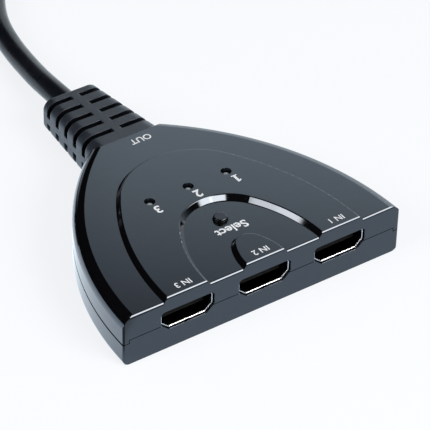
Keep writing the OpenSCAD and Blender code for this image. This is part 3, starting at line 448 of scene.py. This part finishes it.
def lensForm(node):
    # an upright side, a quarter circle's start up to the hole, and half an ellipse from the neck to the tip
    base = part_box(node)[0][2] / mm
    shoulder = math.sqrt(lens["radius"] ** 2 - lens["neck"] ** 2)
    bend = np.linspace(0, math.asin(shoulder / lens["radius"]), lens["shoulderPoints"])
    rise = np.radians(np.linspace(0, lens["tipTurn"], lens["tipPoints"]))[1:]
    radius = np.concatenate([[lens["radius"]], lens["radius"] * np.cos(bend), lens["neck"] * np.cos(rise)])
    level = np.concatenate([[base], lens["ceiling"] - shoulder + lens["radius"] * np.sin(bend),
                            lens["ceiling"] + (lens["tip"] - lens["ceiling"]) * np.sin(rise)])
    return turnedForm(node, radius, level, lens["sides"])


for k in (1, 2, 3):
    piece = makePiece("light_%d_lens" % k, [lensForm("led_%d_lens" % k)], "lens_resin")
    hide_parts("led_%d_lens" % k)
print("lenses cast")


# Snap dome in the select switch: a thin pressed cap that gives way under the button
dome = {
    "diameter": 4.4, "height": 0.5, "sheet": 0.12, "middle": 0.004, "sides": 48, "points": 16, "pressed": 0.58,
}


def domeForm(node):
    # the outside of a ball's cap from its middle to the rim, then the inside from the rim back to the middle
    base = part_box(node)[0][2] / mm
    ball = (dome["diameter"] ** 2 / 4 + dome["height"] ** 2) / (2 * dome["height"])
    sunk = ball - dome["height"]
    skins = []
    for radius, order in ((ball, 1), (ball - dome["sheet"], -1)):
        bend = np.linspace(dome["middle"], math.acos(sunk / radius), dome["points"])[::order]
        skins.append(np.stack([radius * np.sin(bend), base + radius * np.cos(bend) - sunk]))
    return turnedForm(node, *np.concatenate(skins, 1), dome["sides"])


snapDome = makePiece("select_snap_dome", [domeForm("switch_dome")], "tinned_metal")
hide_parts("switch_dome")
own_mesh(snapDome)
print("snap dome pressed")


# Tie round the coil: a toothed strap round both layers, a head on the outside and a cut tail through it
tie = {
    "thick": 0.6, "width": 4.0, "edge": 0.15, "gap": 0.2, "tooth": 0.12, "toothPitch": 1.0, "toothHalf": (0.9, 1.2),
    "bendPoints": 40, "linePoints": 28, "headWidth": 5.2, "headHeight": 4.3, "headDeep": 1.8, "headRound": 0.5,
    "tail": (0.7, 3.6, 1.6), "tailRound": 0.2, "tailOut": 0.4, "roundPoints": 6, "cornerPoints": 24,
}


def tieStrap():
    # a rounded strip's section carried round a slot with round ends; the outside rises and falls with the teeth
    r, rise = lead["diameter"] / 2 + tie["gap"], lead["coilRise"]
    bend = np.radians(np.linspace(0, 180, tie["bendPoints"]))
    line = np.linspace(0, rise, tie["linePoints"] + 2)[1:-1]
    one, none = np.ones(len(line)), np.zeros(len(line))
    outX = np.concatenate([np.cos(bend), -one, np.cos(bend + np.pi), one])
    outZ = np.concatenate([np.sin(bend), none, np.sin(bend + np.pi), none])
    midX = r * outX
    midZ = r * outZ + np.concatenate([np.full(len(bend), rise), rise - line, np.zeros(len(bend)), line])
    walked = np.concatenate([[0], np.cumsum(np.hypot(np.diff(midX), np.diff(midZ)))])
    tooth = tie["tooth"] * (0.5 + 0.5 * np.sin(2 * np.pi * walked / tie["toothPitch"]))
    t, w, c = tie["thick"], tie["width"] / 2, tie["edge"]
    foot, top = tie["toothHalf"]
    across = np.array([-w + c, w - c, w, w, w - c, top, foot, -foot, -top, -w + c, -w, -w])
    depth = np.array([0, 0, c, t - c, t, t, t, t, t, t, t - c, c])
    sunk = np.array([0, 0, 0, 0, 0, 0, 1, 1, 0, 0, 0, 0])
    level = depth[None] - tooth[:, None] * sunk[None]
    return np.stack([midX[:, None] + outX[:, None] * level, np.repeat(across[None], len(midX), 0),
                     midZ[:, None] + outZ[:, None] * level], -1)


def roundedBlock(size, radius, place):
    # a box whose level section is a rounded rectangle that draws in at the top and the bottom by a quarter circle
    bend = np.radians(np.linspace(0, 90, tie["roundPoints"]))
    inset = np.concatenate([radius * (1 - np.sin(bend)), radius * (1 - np.cos(bend))])
    level = np.concatenate([-size[2] / 2 + radius * (1 - np.cos(bend)), size[2] / 2 - radius * (1 - np.sin(bend))])
    corner = np.radians((np.arange(tie["cornerPoints"]) + 0.5) * 360 / tie["cornerPoints"])
    x = np.sign(np.cos(corner)) * (size[0] / 2 - radius) + radius * np.cos(corner)
    y = np.sign(np.sin(corner)) * (size[1] / 2 - radius) + radius * np.sin(corner)
    sx, sy = x / (size[0] / 2), y / (size[1] / 2)
    points = np.stack([x[None] - inset[:, None] * sx[None], y[None] - inset[:, None] * sy[None],
                       np.repeat(level[:, None], len(x), 1)], -1)
    return points + np.array(place)


def turnToTie(points):
    # from the tie's own frame, X away from the coil's middle, to where it stands on the coil
    a = math.radians(lead["coilFrom"] + 360 * lead["tieTurn"])
    turn = np.array([[math.cos(a), math.sin(a), 0], [-math.sin(a), math.cos(a), 0], [0, 0, 1]])
    return points @ turn + coilPoint(lead["tieTurn"])


headX = lead["diameter"] / 2 + tie["gap"] + tie["thick"] / 2 + tie["headDeep"] / 2
headZ = lead["coilRise"] / 2
tieHead = roundedBlock((tie["headDeep"], tie["headWidth"], tie["headHeight"]), tie["headRound"], (headX, 0, headZ))
tieTail = roundedBlock(tie["tail"], tie["tailRound"], (headX, 0, headZ + tie["headHeight"] / 2 + tie["tailOut"]))
cableTie = makePiece("coil_tie", [
    gridSurface(turnToTie(tieStrap()), closeAlong=True),
    gridSurface(turnToTie(tieHead)), gridSurface(turnToTie(tieTail)),
], "tie_nylon")
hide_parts("cable_tie")
print("tie closed round the coil")


def hexLinear(code):
    # sRGB hex to the linear colour that the shaders take
    srgb = np.array([int(code[k:k + 2], 16) for k in (1, 3, 5)]) / 255
    linear = np.where(srgb <= 0.04045, srgb / 12.92, ((srgb + 0.055) / 1.055) ** 2.4)
    return (*linear.tolist(), 1.0)


def addNode(tree, kind, props={}, sockets={}):
    # a node with its own settings; a socket gets a value, or a link where it is given another node's output
    node = tree.nodes.new("ShaderNode" + kind)
    for key, value in props.items():
        setattr(node, key, value)
    for key, value in sockets.items():
        if isinstance(value, bpy.types.NodeSocket):
            tree.links.new(value, node.inputs[key])
        else:
            node.inputs[key].default_value = value
    return node


def startMaterial(name, sockets):
    material = bpy.data.materials.new(name)
    material.use_nodes = True
    tree = material.node_tree
    tree.nodes.clear()
    shader = addNode(tree, "BsdfPrincipled", {}, sockets)
    addNode(tree, "OutputMaterial", {}, {"Surface": shader.outputs[0]})
    place = addNode(tree, "TexCoord").outputs["Object"]
    return material, tree, shader, place


def perMm(size):
    return 1000.0 / size


noiseSpan = (0.3, 0.7)  # noise seldom leaves it


def surfaceFinish(name, look):
    # colour between two shades by a slow cloud, roughness between two values by a middling one,
    # and a bump from the finish's own grain; sizes are in mm. Places deep in a slot or inside a shell take a painted
    # shade, darker and at a roughness of their own; below a height a face's reflection is painted out, a painted
    # shade;
    # and the joint between the shells is dull behind the front, with its reflection painted out as a painted shade
    # line.
    material, tree, shader, place = startMaterial(name, look.get("sockets", {}))
    if "stretch" in look:
        place = addNode(tree, "Mapping", {}, {"Vector": place, "Scale": look["stretch"]}).outputs[0]
    cloud = addNode(tree, "TexNoise", {}, {"Vector": place, "Scale": perMm(look["cloud"]), "Detail": 3.0})
    shades = addNode(tree, "Mix", {"data_type": "RGBA"}, {
        0: cloud.outputs[0], 6: hexLinear(look["shades"][0]), 7: hexLinear(look["shades"][1])})
    marks = addNode(tree, "TexNoise", {}, {"Vector": place, "Scale": perMm(look["marks"]), "Detail": 4.0})
    rough = addNode(tree, "MapRange", {}, {
        0: marks.outputs[0], 1: noiseSpan[0], 2: noiseSpan[1], 3: look["rough"][0], 4: look["rough"][1]})
    grain = addNode(tree, "TexNoise", {}, {"Vector": place, "Scale": perMm(look["grain"]), "Detail": 2.0})
    bump = addNode(tree, "Bump", {}, {
        "Height": grain.outputs[0], "Strength": 1.0, "Distance": look["relief"] * mm})
    colour, dull = shades.outputs[2], rough.outputs[0]
    # painted shade: the marked places deep in slots and inside shells take a dark colour and a roughness of their own
    if "paintedShadeColour" in look:
        deep = addNode(tree, "Attribute", {"attribute_name": "paintedShade"}).outputs["Fac"]
        colour = addNode(tree, "Mix", {"data_type": "RGBA"}, {
            0: deep, 6: colour, 7: hexLinear(look["paintedShadeColour"])}).outputs[2]
        dull = addNode(tree, "Mix", {}, {0: deep, 2: dull, 3: look["paintedShadeRough"]}).outputs[0]
    # painted shade on the flank: below the given heights the reflection's tint goes to black
    if "paintedShadeBelow" in look:
        height = addNode(tree, "SeparateXYZ", {}, {0: place}).outputs["Z"]
        edge = [level * mm for level in look["paintedShadeBelow"]]
        face = addNode(tree, "MapRange", {}, {0: height, 1: edge[0], 2: edge[1]})
        tint = addNode(tree, "Mix", {"data_type": "RGBA"}, {
            0: face.outputs[0], 6: (0, 0, 0, 1), 7: hexLinear(look["gloss"])})
        tree.links.new(tint.outputs[2], shader.inputs["Specular Tint"])
    # painted shade line: at the joint behind the front the roughness goes up and the reflection's tint goes to black
    if "seam" in look:
        seam = look["seam"]
        axes = addNode(tree, "SeparateXYZ", {}, {0: place}).outputs
        level = addNode(tree, "Math", {"operation": "COMPARE"}, {
            0: axes["Z"], 1: seam["level"] * mm, 2: seam["half"] * mm}).outputs[0]
        behind = addNode(tree, "Math", {"operation": "GREATER_THAN"}, {
            0: axes["Y"], 1: seam["behind"] * mm}).outputs[0]
        joint = addNode(tree, "Math", {"operation": "MULTIPLY"}, {0: level, 1: behind}).outputs[0]
        dull = addNode(tree, "Mix", {}, {0: joint, 2: dull, 3: seam["rough"]}).outputs[0]
        tint = addNode(tree, "Mix", {"data_type": "RGBA"}, {
            0: joint, 6: shader.inputs["Specular Tint"].default_value, 7: (0, 0, 0, 1)})
        tree.links.new(tint.outputs[2], shader.inputs["Specular Tint"])
    tree.links.new(colour, shader.inputs["Base Color"])
    tree.links.new(dull, shader.inputs["Roughness"])
    tree.links.new(bump.outputs[0], shader.inputs["Normal"])
    return material


finishes = {
    # ABS, moulded in a polished tool: black with a mirror gloss, a trace of sink and orange peel, faint handling
    # marks, a painted cool tint on its reflections, and a dull line where the shells meet along the sides, with its
    # reflection painted out as a painted shade line
    "case_plastic": dict(
        name="glossMouldedAbs", cloud=30, shades=("#060607", "#08080a"), marks=9, rough=(0.05, 0.09), grain=3.5,
        relief=0.0025, sockets={"IOR": 1.7, "Specular Tint": hexLinear("#d2e5ff")},
        seam=dict(level=6.32, half=0.28, behind=-43.1, rough=1.0)),
    # the tact switch's plunger: same black; below its top face the reflection is painted out, a painted shade on the
    # flank, and the top's reflection has a painted cool tint
    "button_plastic": dict(
        name="plungerAbsPaintedFlankShade", cloud=4, shades=("#08090a", "#0b0c0e"), marks=1.2, rough=(0.2, 0.28), grain=0.25,
        relief=0.002, sockets={"IOR": 1.62}, paintedShadeBelow=(14.86, 14.97), gloss="#d2e5ff"),
    # flexible PVC moulded over the lead: dark grey, satin, a fine even spark-eroded grain, painted shade near black in
    # the slots, and a painted cool tint on its reflections
    "soft_pvc": dict(
        name="overmouldedPvc", paintedShadeColour="#07080b", paintedShadeRough=0.3, cloud=8, shades=("#171b21", "#1e2229"),
        marks=2.5, rough=(0.36, 0.48), grain=0.4, relief=0.01,
        sockets={"IOR": 1.55, "Specular Tint": hexLinear("#d2e5ff")}),
    # extruded PVC jacket: near black, satin, drawn lines too faint to see but for a soft unevenness, and a painted
    # cool tint on its reflections
    "lead_pvc": dict(
        name="extrudedPvcJacket", cloud=12, shades=("#0a0c11", "#0e1016"), marks=3, rough=(0.26, 0.34), grain=0.6,
        relief=0.006, sockets={"IOR": 1.3, "Specular Tint": hexLinear("#d2e5ff")}),
    # nickel on folded steel: bright satin metal with fine rolling marks, with painted shade inside
    "plated_shell": dict(
        name="nickelPlatedSteel", paintedShadeColour="#2b2825", paintedShadeRough=0.3, cloud=5, shades=("#c2cad1", "#d0d7dd"),
        marks=0.8, rough=(0.3, 0.4), grain=0.3, relief=0.0012, stretch=(0.25, 1.0, 1.0), sockets={"Metallic": 1.0}),
    # glass-filled nylon insulator: dull black
    "insulator": dict(
        name="mouldedNylon", cloud=3, shades=("#090909", "#0e0d0d"), marks=1, rough=(0.45, 0.6), grain=0.2,
        relief=0.004, sockets={"IOR": 1.12}),
    # thin gold over nickel on stamped contacts: a dull yellow metal, its colour darkened as painted shade for the
    # sockets' insides
    "contact_gold": dict(
        name="goldFlashedContacts", cloud=2, shades=("#6b5020", "#83652c"), marks=0.5, rough=(0.2, 0.35), grain=0.15,
        relief=0.001, sockets={"Metallic": 1.0}),
    # cast epoxy lens: milky while it isn't lit, with one small clear highlight
    "lens_resin": dict(
        name="castEpoxyLens", cloud=2, shades=("#7c8487", "#a3aaac"), marks=1, rough=(0.14, 0.22), grain=0.8,
        relief=0.001, sockets={"IOR": 1.54}),
    # tin on copper leads and pins: dull silver
    "tinned_metal": dict(
        name="tinnedCopper", cloud=2, shades=("#a9adb1", "#c2c5c8"), marks=0.5, rough=(0.3, 0.45), grain=0.2,
        relief=0.002, sockets={"Metallic": 1.0}),
    # moulded epoxy of the chips: charcoal with a matt grain
    "chip_resin": dict(
        name="mouldedEpoxy", cloud=2, shades=("#151516", "#1d1d1f"), marks=0.6, rough=(0.55, 0.7), grain=0.12,
        relief=0.004),
    # fired ceramic of the chip capacitors: tan, slightly mottled
    "ceramic": dict(
        name="firedCeramic", cloud=0.8, shades=("#a07c4a", "#bd9a66"), marks=0.4, rough=(0.4, 0.55), grain=0.1,
        relief=0.003),
    # zinc-plated, black-passivated screw steel: dark grey with a soft shine
    "screw_steel": dict(
        name="blackZincSteel", cloud=1.5, shades=("#2b2c2f", "#3a3b3f"), marks=0.4, rough=(0.3, 0.45), grain=0.15,
        relief=0.002, sockets={"Metallic": 1.0}),
    # extruded PVC of the wires: brick red, satin
    "wire_pvc": dict(
        name="wireInsulation", cloud=1.4, shades=("#9c3f32", "#c0594a"), marks=0.8, rough=(0.35, 0.5), grain=0.3,
        relief=0.002),
    # moulded nylon of the tie: black with a soft sheen along its teeth
    "tie_nylon": dict(
        name="tieNylon", cloud=3, shades=("#141517", "#1b1c1f"), marks=0.9, rough=(0.3, 0.45), grain=0.25,
        relief=0.004),
}
slotMaterial = {slot: surfaceFinish(look["name"], look) for slot, look in finishes.items()}


# sizes in mm; perWave and perRow turn them to the scales of the wave and brick patterns
board = {
    "thread": 0.5, "perWave": 6.28, "uneven": 0.4, "weave": 0.008, "track": 1.6, "perRow": 4, "trackShare": 0.06,
    "stagger": 0.37, "mask": "#174a31", "copper": "#2b6b47", "sockets": {"Roughness": 0.32, "IOR": 1.5},
}


def laminateFinish():
    # glass-epoxy board under green solder mask: a woven bump at the cloth's pitch, and paler copper tracks
    # below the mask
    material, tree, shader, place = startMaterial("solderMaskedLaminate", board["sockets"])
    weave = [
        addNode(tree, "TexWave", {"bands_direction": axis}, {
            "Vector": place, "Scale": perMm(board["thread"]) / board["perWave"], "Distortion": board["uneven"]})
        for axis in ("X", "Y")]
    cloth = addNode(tree, "Math", {"operation": "MULTIPLY"}, {0: weave[0].outputs[1], 1: weave[1].outputs[1]})
    tracks = addNode(tree, "TexBrick", {"offset": board["stagger"]}, {
        "Vector": place, "Scale": perMm(board["track"]) / board["perRow"], "Mortar Size": board["trackShare"],
        "Color1": hexLinear(board["mask"]), "Color2": hexLinear(board["mask"]), "Mortar": hexLinear(board["copper"])})
    bump = addNode(tree, "Bump", {}, {"Height": cloth.outputs[0], "Distance": board["weave"] * mm})
    tree.links.new(tracks.outputs[0], shader.inputs["Base Color"])
    tree.links.new(bump.outputs[0], shader.inputs["Normal"])
    return material


slotMaterial["board_laminate"] = laminateFinish()

# every node takes the finish of its slot in the record, and the new pieces take theirs
for part in frame["record"]["subparts"]:
    mesh = nodes[part["node"]].data
    mesh.materials.clear()
    mesh.materials.append(slotMaterial[part["material_slot"]])
for piece, slot in made:
    piece.data.materials.append(slotMaterial[slot])
print("finishes mixed:", len(slotMaterial))


# Printed words and numbers on the top, read from the lead's side: words, middle in mm, height of a capital,
# surface height, weight added to the strokes. The figure one has an outline of its own, in parts of its height.
printing = {
    "thick": 0.03,
    "sunk": 0.25,
    "capital": 0.729,
    "curveSteps": 6,
    "cloud": 0.35,
    "shades": ("#bfc4ca", "#eef0f2"),
    "sockets": {"Roughness": 0.55, "IOR": 1.45},
    "words": [
        ("OUT", (1.9, 12.9), 2.05, 14.0, 0.012),
        ("Select", (0.4, -28.95), 2.65, 14.0, 0.02),
        ("2", (0.4, -14.5), 2.8, 15.2, 0.024), ("3", (-11.2, -14.5), 2.8, 15.2, 0.024),
        ("IN 1", (22.4, -40.75), 1.85, 15.2, 0.01), ("IN 2", (0.3, -40.75), 1.85, 15.2, 0.01),
        ("IN 3", (-21.8, -40.75), 1.85, 15.2, 0.01),
    ],
    "one": {"middle": (11.7, -14.5), "height": 2.8, "level": 15.2, "outline": [
        (-0.29, 0), (0.29, 0), (0.29, 0.12), (0.13, 0.12), (0.13, 1), (-0.04, 1), (-0.3, 0.86), (-0.25, 0.73),
        (-0.11, 0.79), (-0.11, 0.12), (-0.29, 0.12)]},
}


def inkFinish():
    # pad-printed white ink: flat white, slightly thin and uneven so that a little black shows through
    material, tree, shader, place = startMaterial("padPrintedInk", printing["sockets"])
    cover = addNode(tree, "TexNoise", {}, {"Vector": place, "Scale": perMm(printing["cloud"]), "Detail": 4.0})
    thin, full = (hexLinear(code) for code in printing["shades"])
    shade = addNode(tree, "Mix", {"data_type": "RGBA"}, {0: cover.outputs[0], 6: thin, 7: full})
    tree.links.new(shade.outputs[2], shader.inputs["Base Color"])
    return material


def printWord(word, middle, height, level, weight):
    # the default font's letters as a mesh at a capital's height, half a turn round, lying on the surface
    curve = bpy.data.curves.new("word", "FONT")
    curve.body, curve.align_x, curve.offset = word, "CENTER", weight
    curve.resolution_u = printing["curveSteps"]
    size = height / printing["capital"]
    curve.extrude = printing["thick"] / size / 2
    holder = bpy.data.objects.new("word", curve)
    scene.collection.objects.link(holder)
    mesh = bpy.data.meshes.new_from_object(holder.evaluated_get(bpy.context.evaluated_depsgraph_get()))
    bpy.data.objects.remove(holder)
    co = np.zeros(len(mesh.vertices) * 3)
    mesh.vertices.foreach_get("co", co)
    co = co.reshape(-1, 3) * size
    co[:, 1] -= height / 2
    co = co * (-1, -1, 1) + (*middle, level + printing["thick"] * (0.5 - printing["sunk"]))
    mesh.vertices.foreach_set("co", (co * mm).ravel())
    mesh.name = "print_" + word.replace(" ", "_").lower()
    mesh.materials.clear()
    mesh.materials.append(ink)
    mesh.update()
    piece = bpy.data.objects.new(mesh.name, mesh)
    scene.collection.objects.link(piece)
    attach(piece, "case")
    return piece


def printOne(middle, height, level, outline):
    # the figure one with a foot and a flag: its outline, half a turn round, as a thin plate
    flat = np.array(middle) - (np.array(outline) - (0, 0.5)) * height
    levels = level + printing["thick"] * np.array([-printing["sunk"], 1 - printing["sunk"]])
    plate = np.stack([np.column_stack([flat, np.full(len(flat), z)]) for z in levels])
    piece = makePiece("print_1", [gridSurface(plate)], "case_plastic")
    piece.data.materials.append(ink)
    return piece


ink = inkFinish()
words = [printWord(*entry) for entry in printing["words"]] + [printOne(**printing["one"])]
print("words printed:", len(words))


# Floor and backdrop: white; what the camera and reflections see of it is part its own light, so shadows stay pale.
# Reflections see it fade with distance, brighter on the left softbox's side of the case and dark near the camera's
# stand. It lies a hair below the object's feet and is clear from below, so that the underside can be seen.
# The drop is in mm, the other lengths are in metres.
floorLook = {
    "half": 3.0, "drop": 0.03, "shade": "#f4f5f6", "glow": "#f9fbfe", "mirrored": "#e8f5ff", "share": 0.84,
    "near": 1.1, "fade": (0.15, 0.45), "faded": 0.03,
    "poolTowards": (-0.8, 0.6, 0.0), "poolEdge": (0.0, 0.015), "poolStrength": 1.6,
    "standTowards": (-0.58, -0.81, 0.0), "standEdge": (0.0605, 0.0655), "standStrength": 0.08,
}


def floorFinish():
    material = bpy.data.materials.new("paperSweep")
    material.use_nodes = True
    tree = material.node_tree
    tree.nodes.clear()
    paper = addNode(tree, "BsdfDiffuse", {}, {"Color": hexLinear(floorLook["shade"])})
    rays = addNode(tree, "LightPath").outputs
    white = addNode(tree, "Mix", {"data_type": "RGBA"}, {
        0: rays["Is Glossy Ray"], 6: hexLinear(floorLook["glow"]), 7: hexLinear(floorLook["mirrored"])})
    place = addNode(tree, "TexCoord").outputs["Object"]
    away = addNode(tree, "VectorMath", {"operation": "LENGTH"}, {0: place}).outputs["Value"]
    near = addNode(tree, "MapRange", {"interpolation_type": "SMOOTHSTEP"}, {
        0: away, 1: floorLook["fade"][0], 2: floorLook["fade"][1], 3: floorLook["near"], 4: floorLook["faded"]})
    mirrored = near.outputs[0]
    for patch in ("pool", "stand"):
        across = addNode(tree, "VectorMath", {"operation": "DOT_PRODUCT"}, {0: place, 1: floorLook[patch + "Towards"]})
        edge = floorLook[patch + "Edge"]
        level = addNode(tree, "MapRange", {"interpolation_type": "SMOOTHSTEP"}, {
            0: across.outputs["Value"], 1: edge[0], 2: edge[1], 3: 1.0, 4: floorLook[patch + "Strength"]})
        mirrored = addNode(tree, "Math", {"operation": "MULTIPLY"}, {0: mirrored, 1: level.outputs[0]}).outputs[0]
    strength = addNode(tree, "Mix", {}, {0: rays["Is Glossy Ray"], 2: 1.0, 3: mirrored})
    glow = addNode(tree, "Emission", {}, {"Color": white.outputs[2], "Strength": strength.outputs[0]})
    seen = addNode(tree, "Math", {"operation": "MAXIMUM"}, {0: rays["Is Camera Ray"], 1: rays["Is Glossy Ray"]})
    seen = addNode(tree, "Math", {"operation": "MAXIMUM"}, {0: seen.outputs[0], 1: rays["Is Transmission Ray"]})
    share = addNode(tree, "Math", {"operation": "MULTIPLY"}, {0: seen.outputs[0], 1: floorLook["share"]})
    mixed = addNode(tree, "MixShader", {}, {0: share.outputs[0], 1: paper.outputs[0], 2: glow.outputs[0]})
    below = addNode(tree, "NewGeometry").outputs["Backfacing"]
    clear = addNode(tree, "BsdfTransparent")
    mixed = addNode(tree, "MixShader", {}, {0: below, 1: mixed.outputs[0], 2: clear.outputs[0]})
    addNode(tree, "OutputMaterial", {}, {"Surface": mixed.outputs[0]})
    return material


half, drop = floorLook["half"], -floorLook["drop"] * mm
floorMesh = bpy.data.meshes.new("floor")
floorMesh.from_pydata(
    [(-half, -half, drop), (half, -half, drop), (half, half, drop), (-half, half, drop)], [], [(0, 1, 2, 3)])
floorMesh.materials.append(floorFinish())
floor = bpy.data.objects.new("floor", floorMesh)
scene.collection.objects.link(floor)

# Studio: two softboxes, and a dim room that only reflections see, with the faces of the softboxes and white walls.
# A card in it is lit between its edges, in degrees: it rises from the first to the second and falls from the third to
# the fourth, sideways from its azimuth and upwards from the horizon.
softboxes = {
    "frontSoftbox": {"azimuth": -75.0, "elevation": 37.0, "away": 0.9, "size": (0.48, 0.40), "power": 7.2},
    "leftSoftbox": {"azimuth": 178.0, "elevation": 35.0, "away": 0.9, "size": (0.28, 0.40), "power": 3.5},
}
lampColour, wallColour = (1.14, 1.0, 0.86), (0.93, 1.01, 1.04)
room = {"ambient": 0.35, "dark": 0.006, "cards": {
    "frontSoftbox": {
        "azimuth": -62.0, "wide": (-18, -10, 11, 18), "high": (23, 32, 52, 60), "level": 15.5, "colour": lampColour},
    "frontSoftboxSide": {
        "azimuth": -90.0, "wide": (-22, -17, 12, 20), "high": (32, 36, 47, 52), "level": 15.5, "colour": lampColour},
    "frontSoftboxTop": {
        "azimuth": -30.0, "wide": (-24, -16, 0, 55), "high": (36, 44, 66, 74), "level": 14.5, "colour": lampColour},
    "leftSoftbox": {
        "azimuth": 165.0, "wide": (-12, -7.5, 6, 12), "high": (24.5, 28, 42, 48), "level": 12.5, "colour": lampColour},
    "leftSoftboxSide": {
        "azimuth": 183.0, "wide": (-12, -6, 6.5, 12), "high": (31, 34.5, 46, 52), "level": 11.0, "colour": lampColour},
    "whiteWall": {
        "azimuth": 30.0, "wide": (-60, 18, 26, 34), "high": (-30, -20, 34, 43), "level": 1.66, "colour": wallColour},
    "wallFoot": {
        "azimuth": 76.0, "wide": (-18, -13, 8, 20), "high": (-30, -20, 6, 16), "level": 0.9, "colour": wallColour},
    "frontWall": {
        "azimuth": -112.0, "wide": (-70, -62, 62, 70), "high": (-30, -20, 12, 22), "level": 0.6, "colour": wallColour},
    "leftWall": {
        "azimuth": 167.0, "wide": (-18, -12, 12, 18), "high": (-30, -20, 12, 22), "level": 0.6, "colour": wallColour},
}}


def direction(azimuth, elevation):
    a, e = math.radians(azimuth), math.radians(elevation)
    return np.array([math.cos(a) * math.cos(e), math.sin(a) * math.cos(e), math.sin(e)])


for name, box in softboxes.items():
    data = bpy.data.lights.new(name, "AREA")
    data.shape, data.energy = "RECTANGLE", box["power"]
    data.size, data.size_y = box["size"]
    lamp = bpy.data.objects.new(name, data)
    outward = direction(box["azimuth"], box["elevation"])
    level = np.cross([0, 0, 1], outward)
    level /= np.linalg.norm(level)
    place = np.eye(4)
    place[:3, :3] = np.column_stack([level, np.cross(outward, level), outward])
    place[:3, 3] = outward * box["away"]
    lamp.matrix_world = Matrix(place.tolist())
    lamp.visible_camera = False
    lamp.visible_glossy = False
    scene.collection.objects.link(lamp)

world = bpy.data.worlds.new("studio")
scene.world = world
world.use_nodes = True
tree = world.node_tree
tree.nodes.clear()
toRay = addNode(tree, "TexCoord").outputs["Generated"]
height = addNode(tree, "SeparateXYZ", {}, {0: toRay}).outputs["Z"]
height = addNode(tree, "Math", {"operation": "ARCSINE"}, {0: height}).outputs[0]
reflected = (room["dark"],) * 3
for card in room["cards"].values():
    ahead, aside = (addNode(tree, "VectorMath", {"operation": "DOT_PRODUCT"}, {
        0: toRay, 1: direction(card["azimuth"] + turn, 0).tolist()}).outputs["Value"] for turn in (0, 90))
    turned = addNode(tree, "Math", {"operation": "ARCTAN2"}, {0: aside, 1: ahead}).outputs[0]
    mask = card["level"]
    for angle, edges in ((turned, card["wide"]), (height, card["high"])):
        for first, last, start in ((0, 1, 0.0), (2, 3, 1.0)):
            edge = addNode(tree, "MapRange", {"interpolation_type": "SMOOTHSTEP"}, {
                0: angle, 1: math.radians(edges[first]), 2: math.radians(edges[last]), 3: start, 4: 1 - start})
            mask = addNode(tree, "Math", {"operation": "MULTIPLY"}, {0: mask, 1: edge.outputs[0]}).outputs[0]
    reflected = addNode(tree, "VectorMath", {"operation": "MULTIPLY_ADD"}, {
        0: mask, 1: card["colour"], 2: reflected}).outputs[0]
rays = addNode(tree, "LightPath").outputs
lit = addNode(tree, "Mix", {"data_type": "RGBA"}, {
    0: rays["Is Glossy Ray"], 6: (*(room["ambient"],) * 3, 1.0), 7: reflected})
seen = addNode(tree, "Math", {"operation": "MAXIMUM"}, {0: rays["Is Camera Ray"], 1: rays["Is Transmission Ray"]})
shown = addNode(tree, "Mix", {"data_type": "RGBA"}, {0: seen.outputs[0], 6: lit.outputs[2], 7: (1, 1, 1, 1)})
backdrop = addNode(tree, "Background", {}, {"Color": shown.outputs[2], "Strength": 1.0})
addNode(tree, "OutputWorld", {}, {"Surface": backdrop.outputs[0]})
print("studio lit")
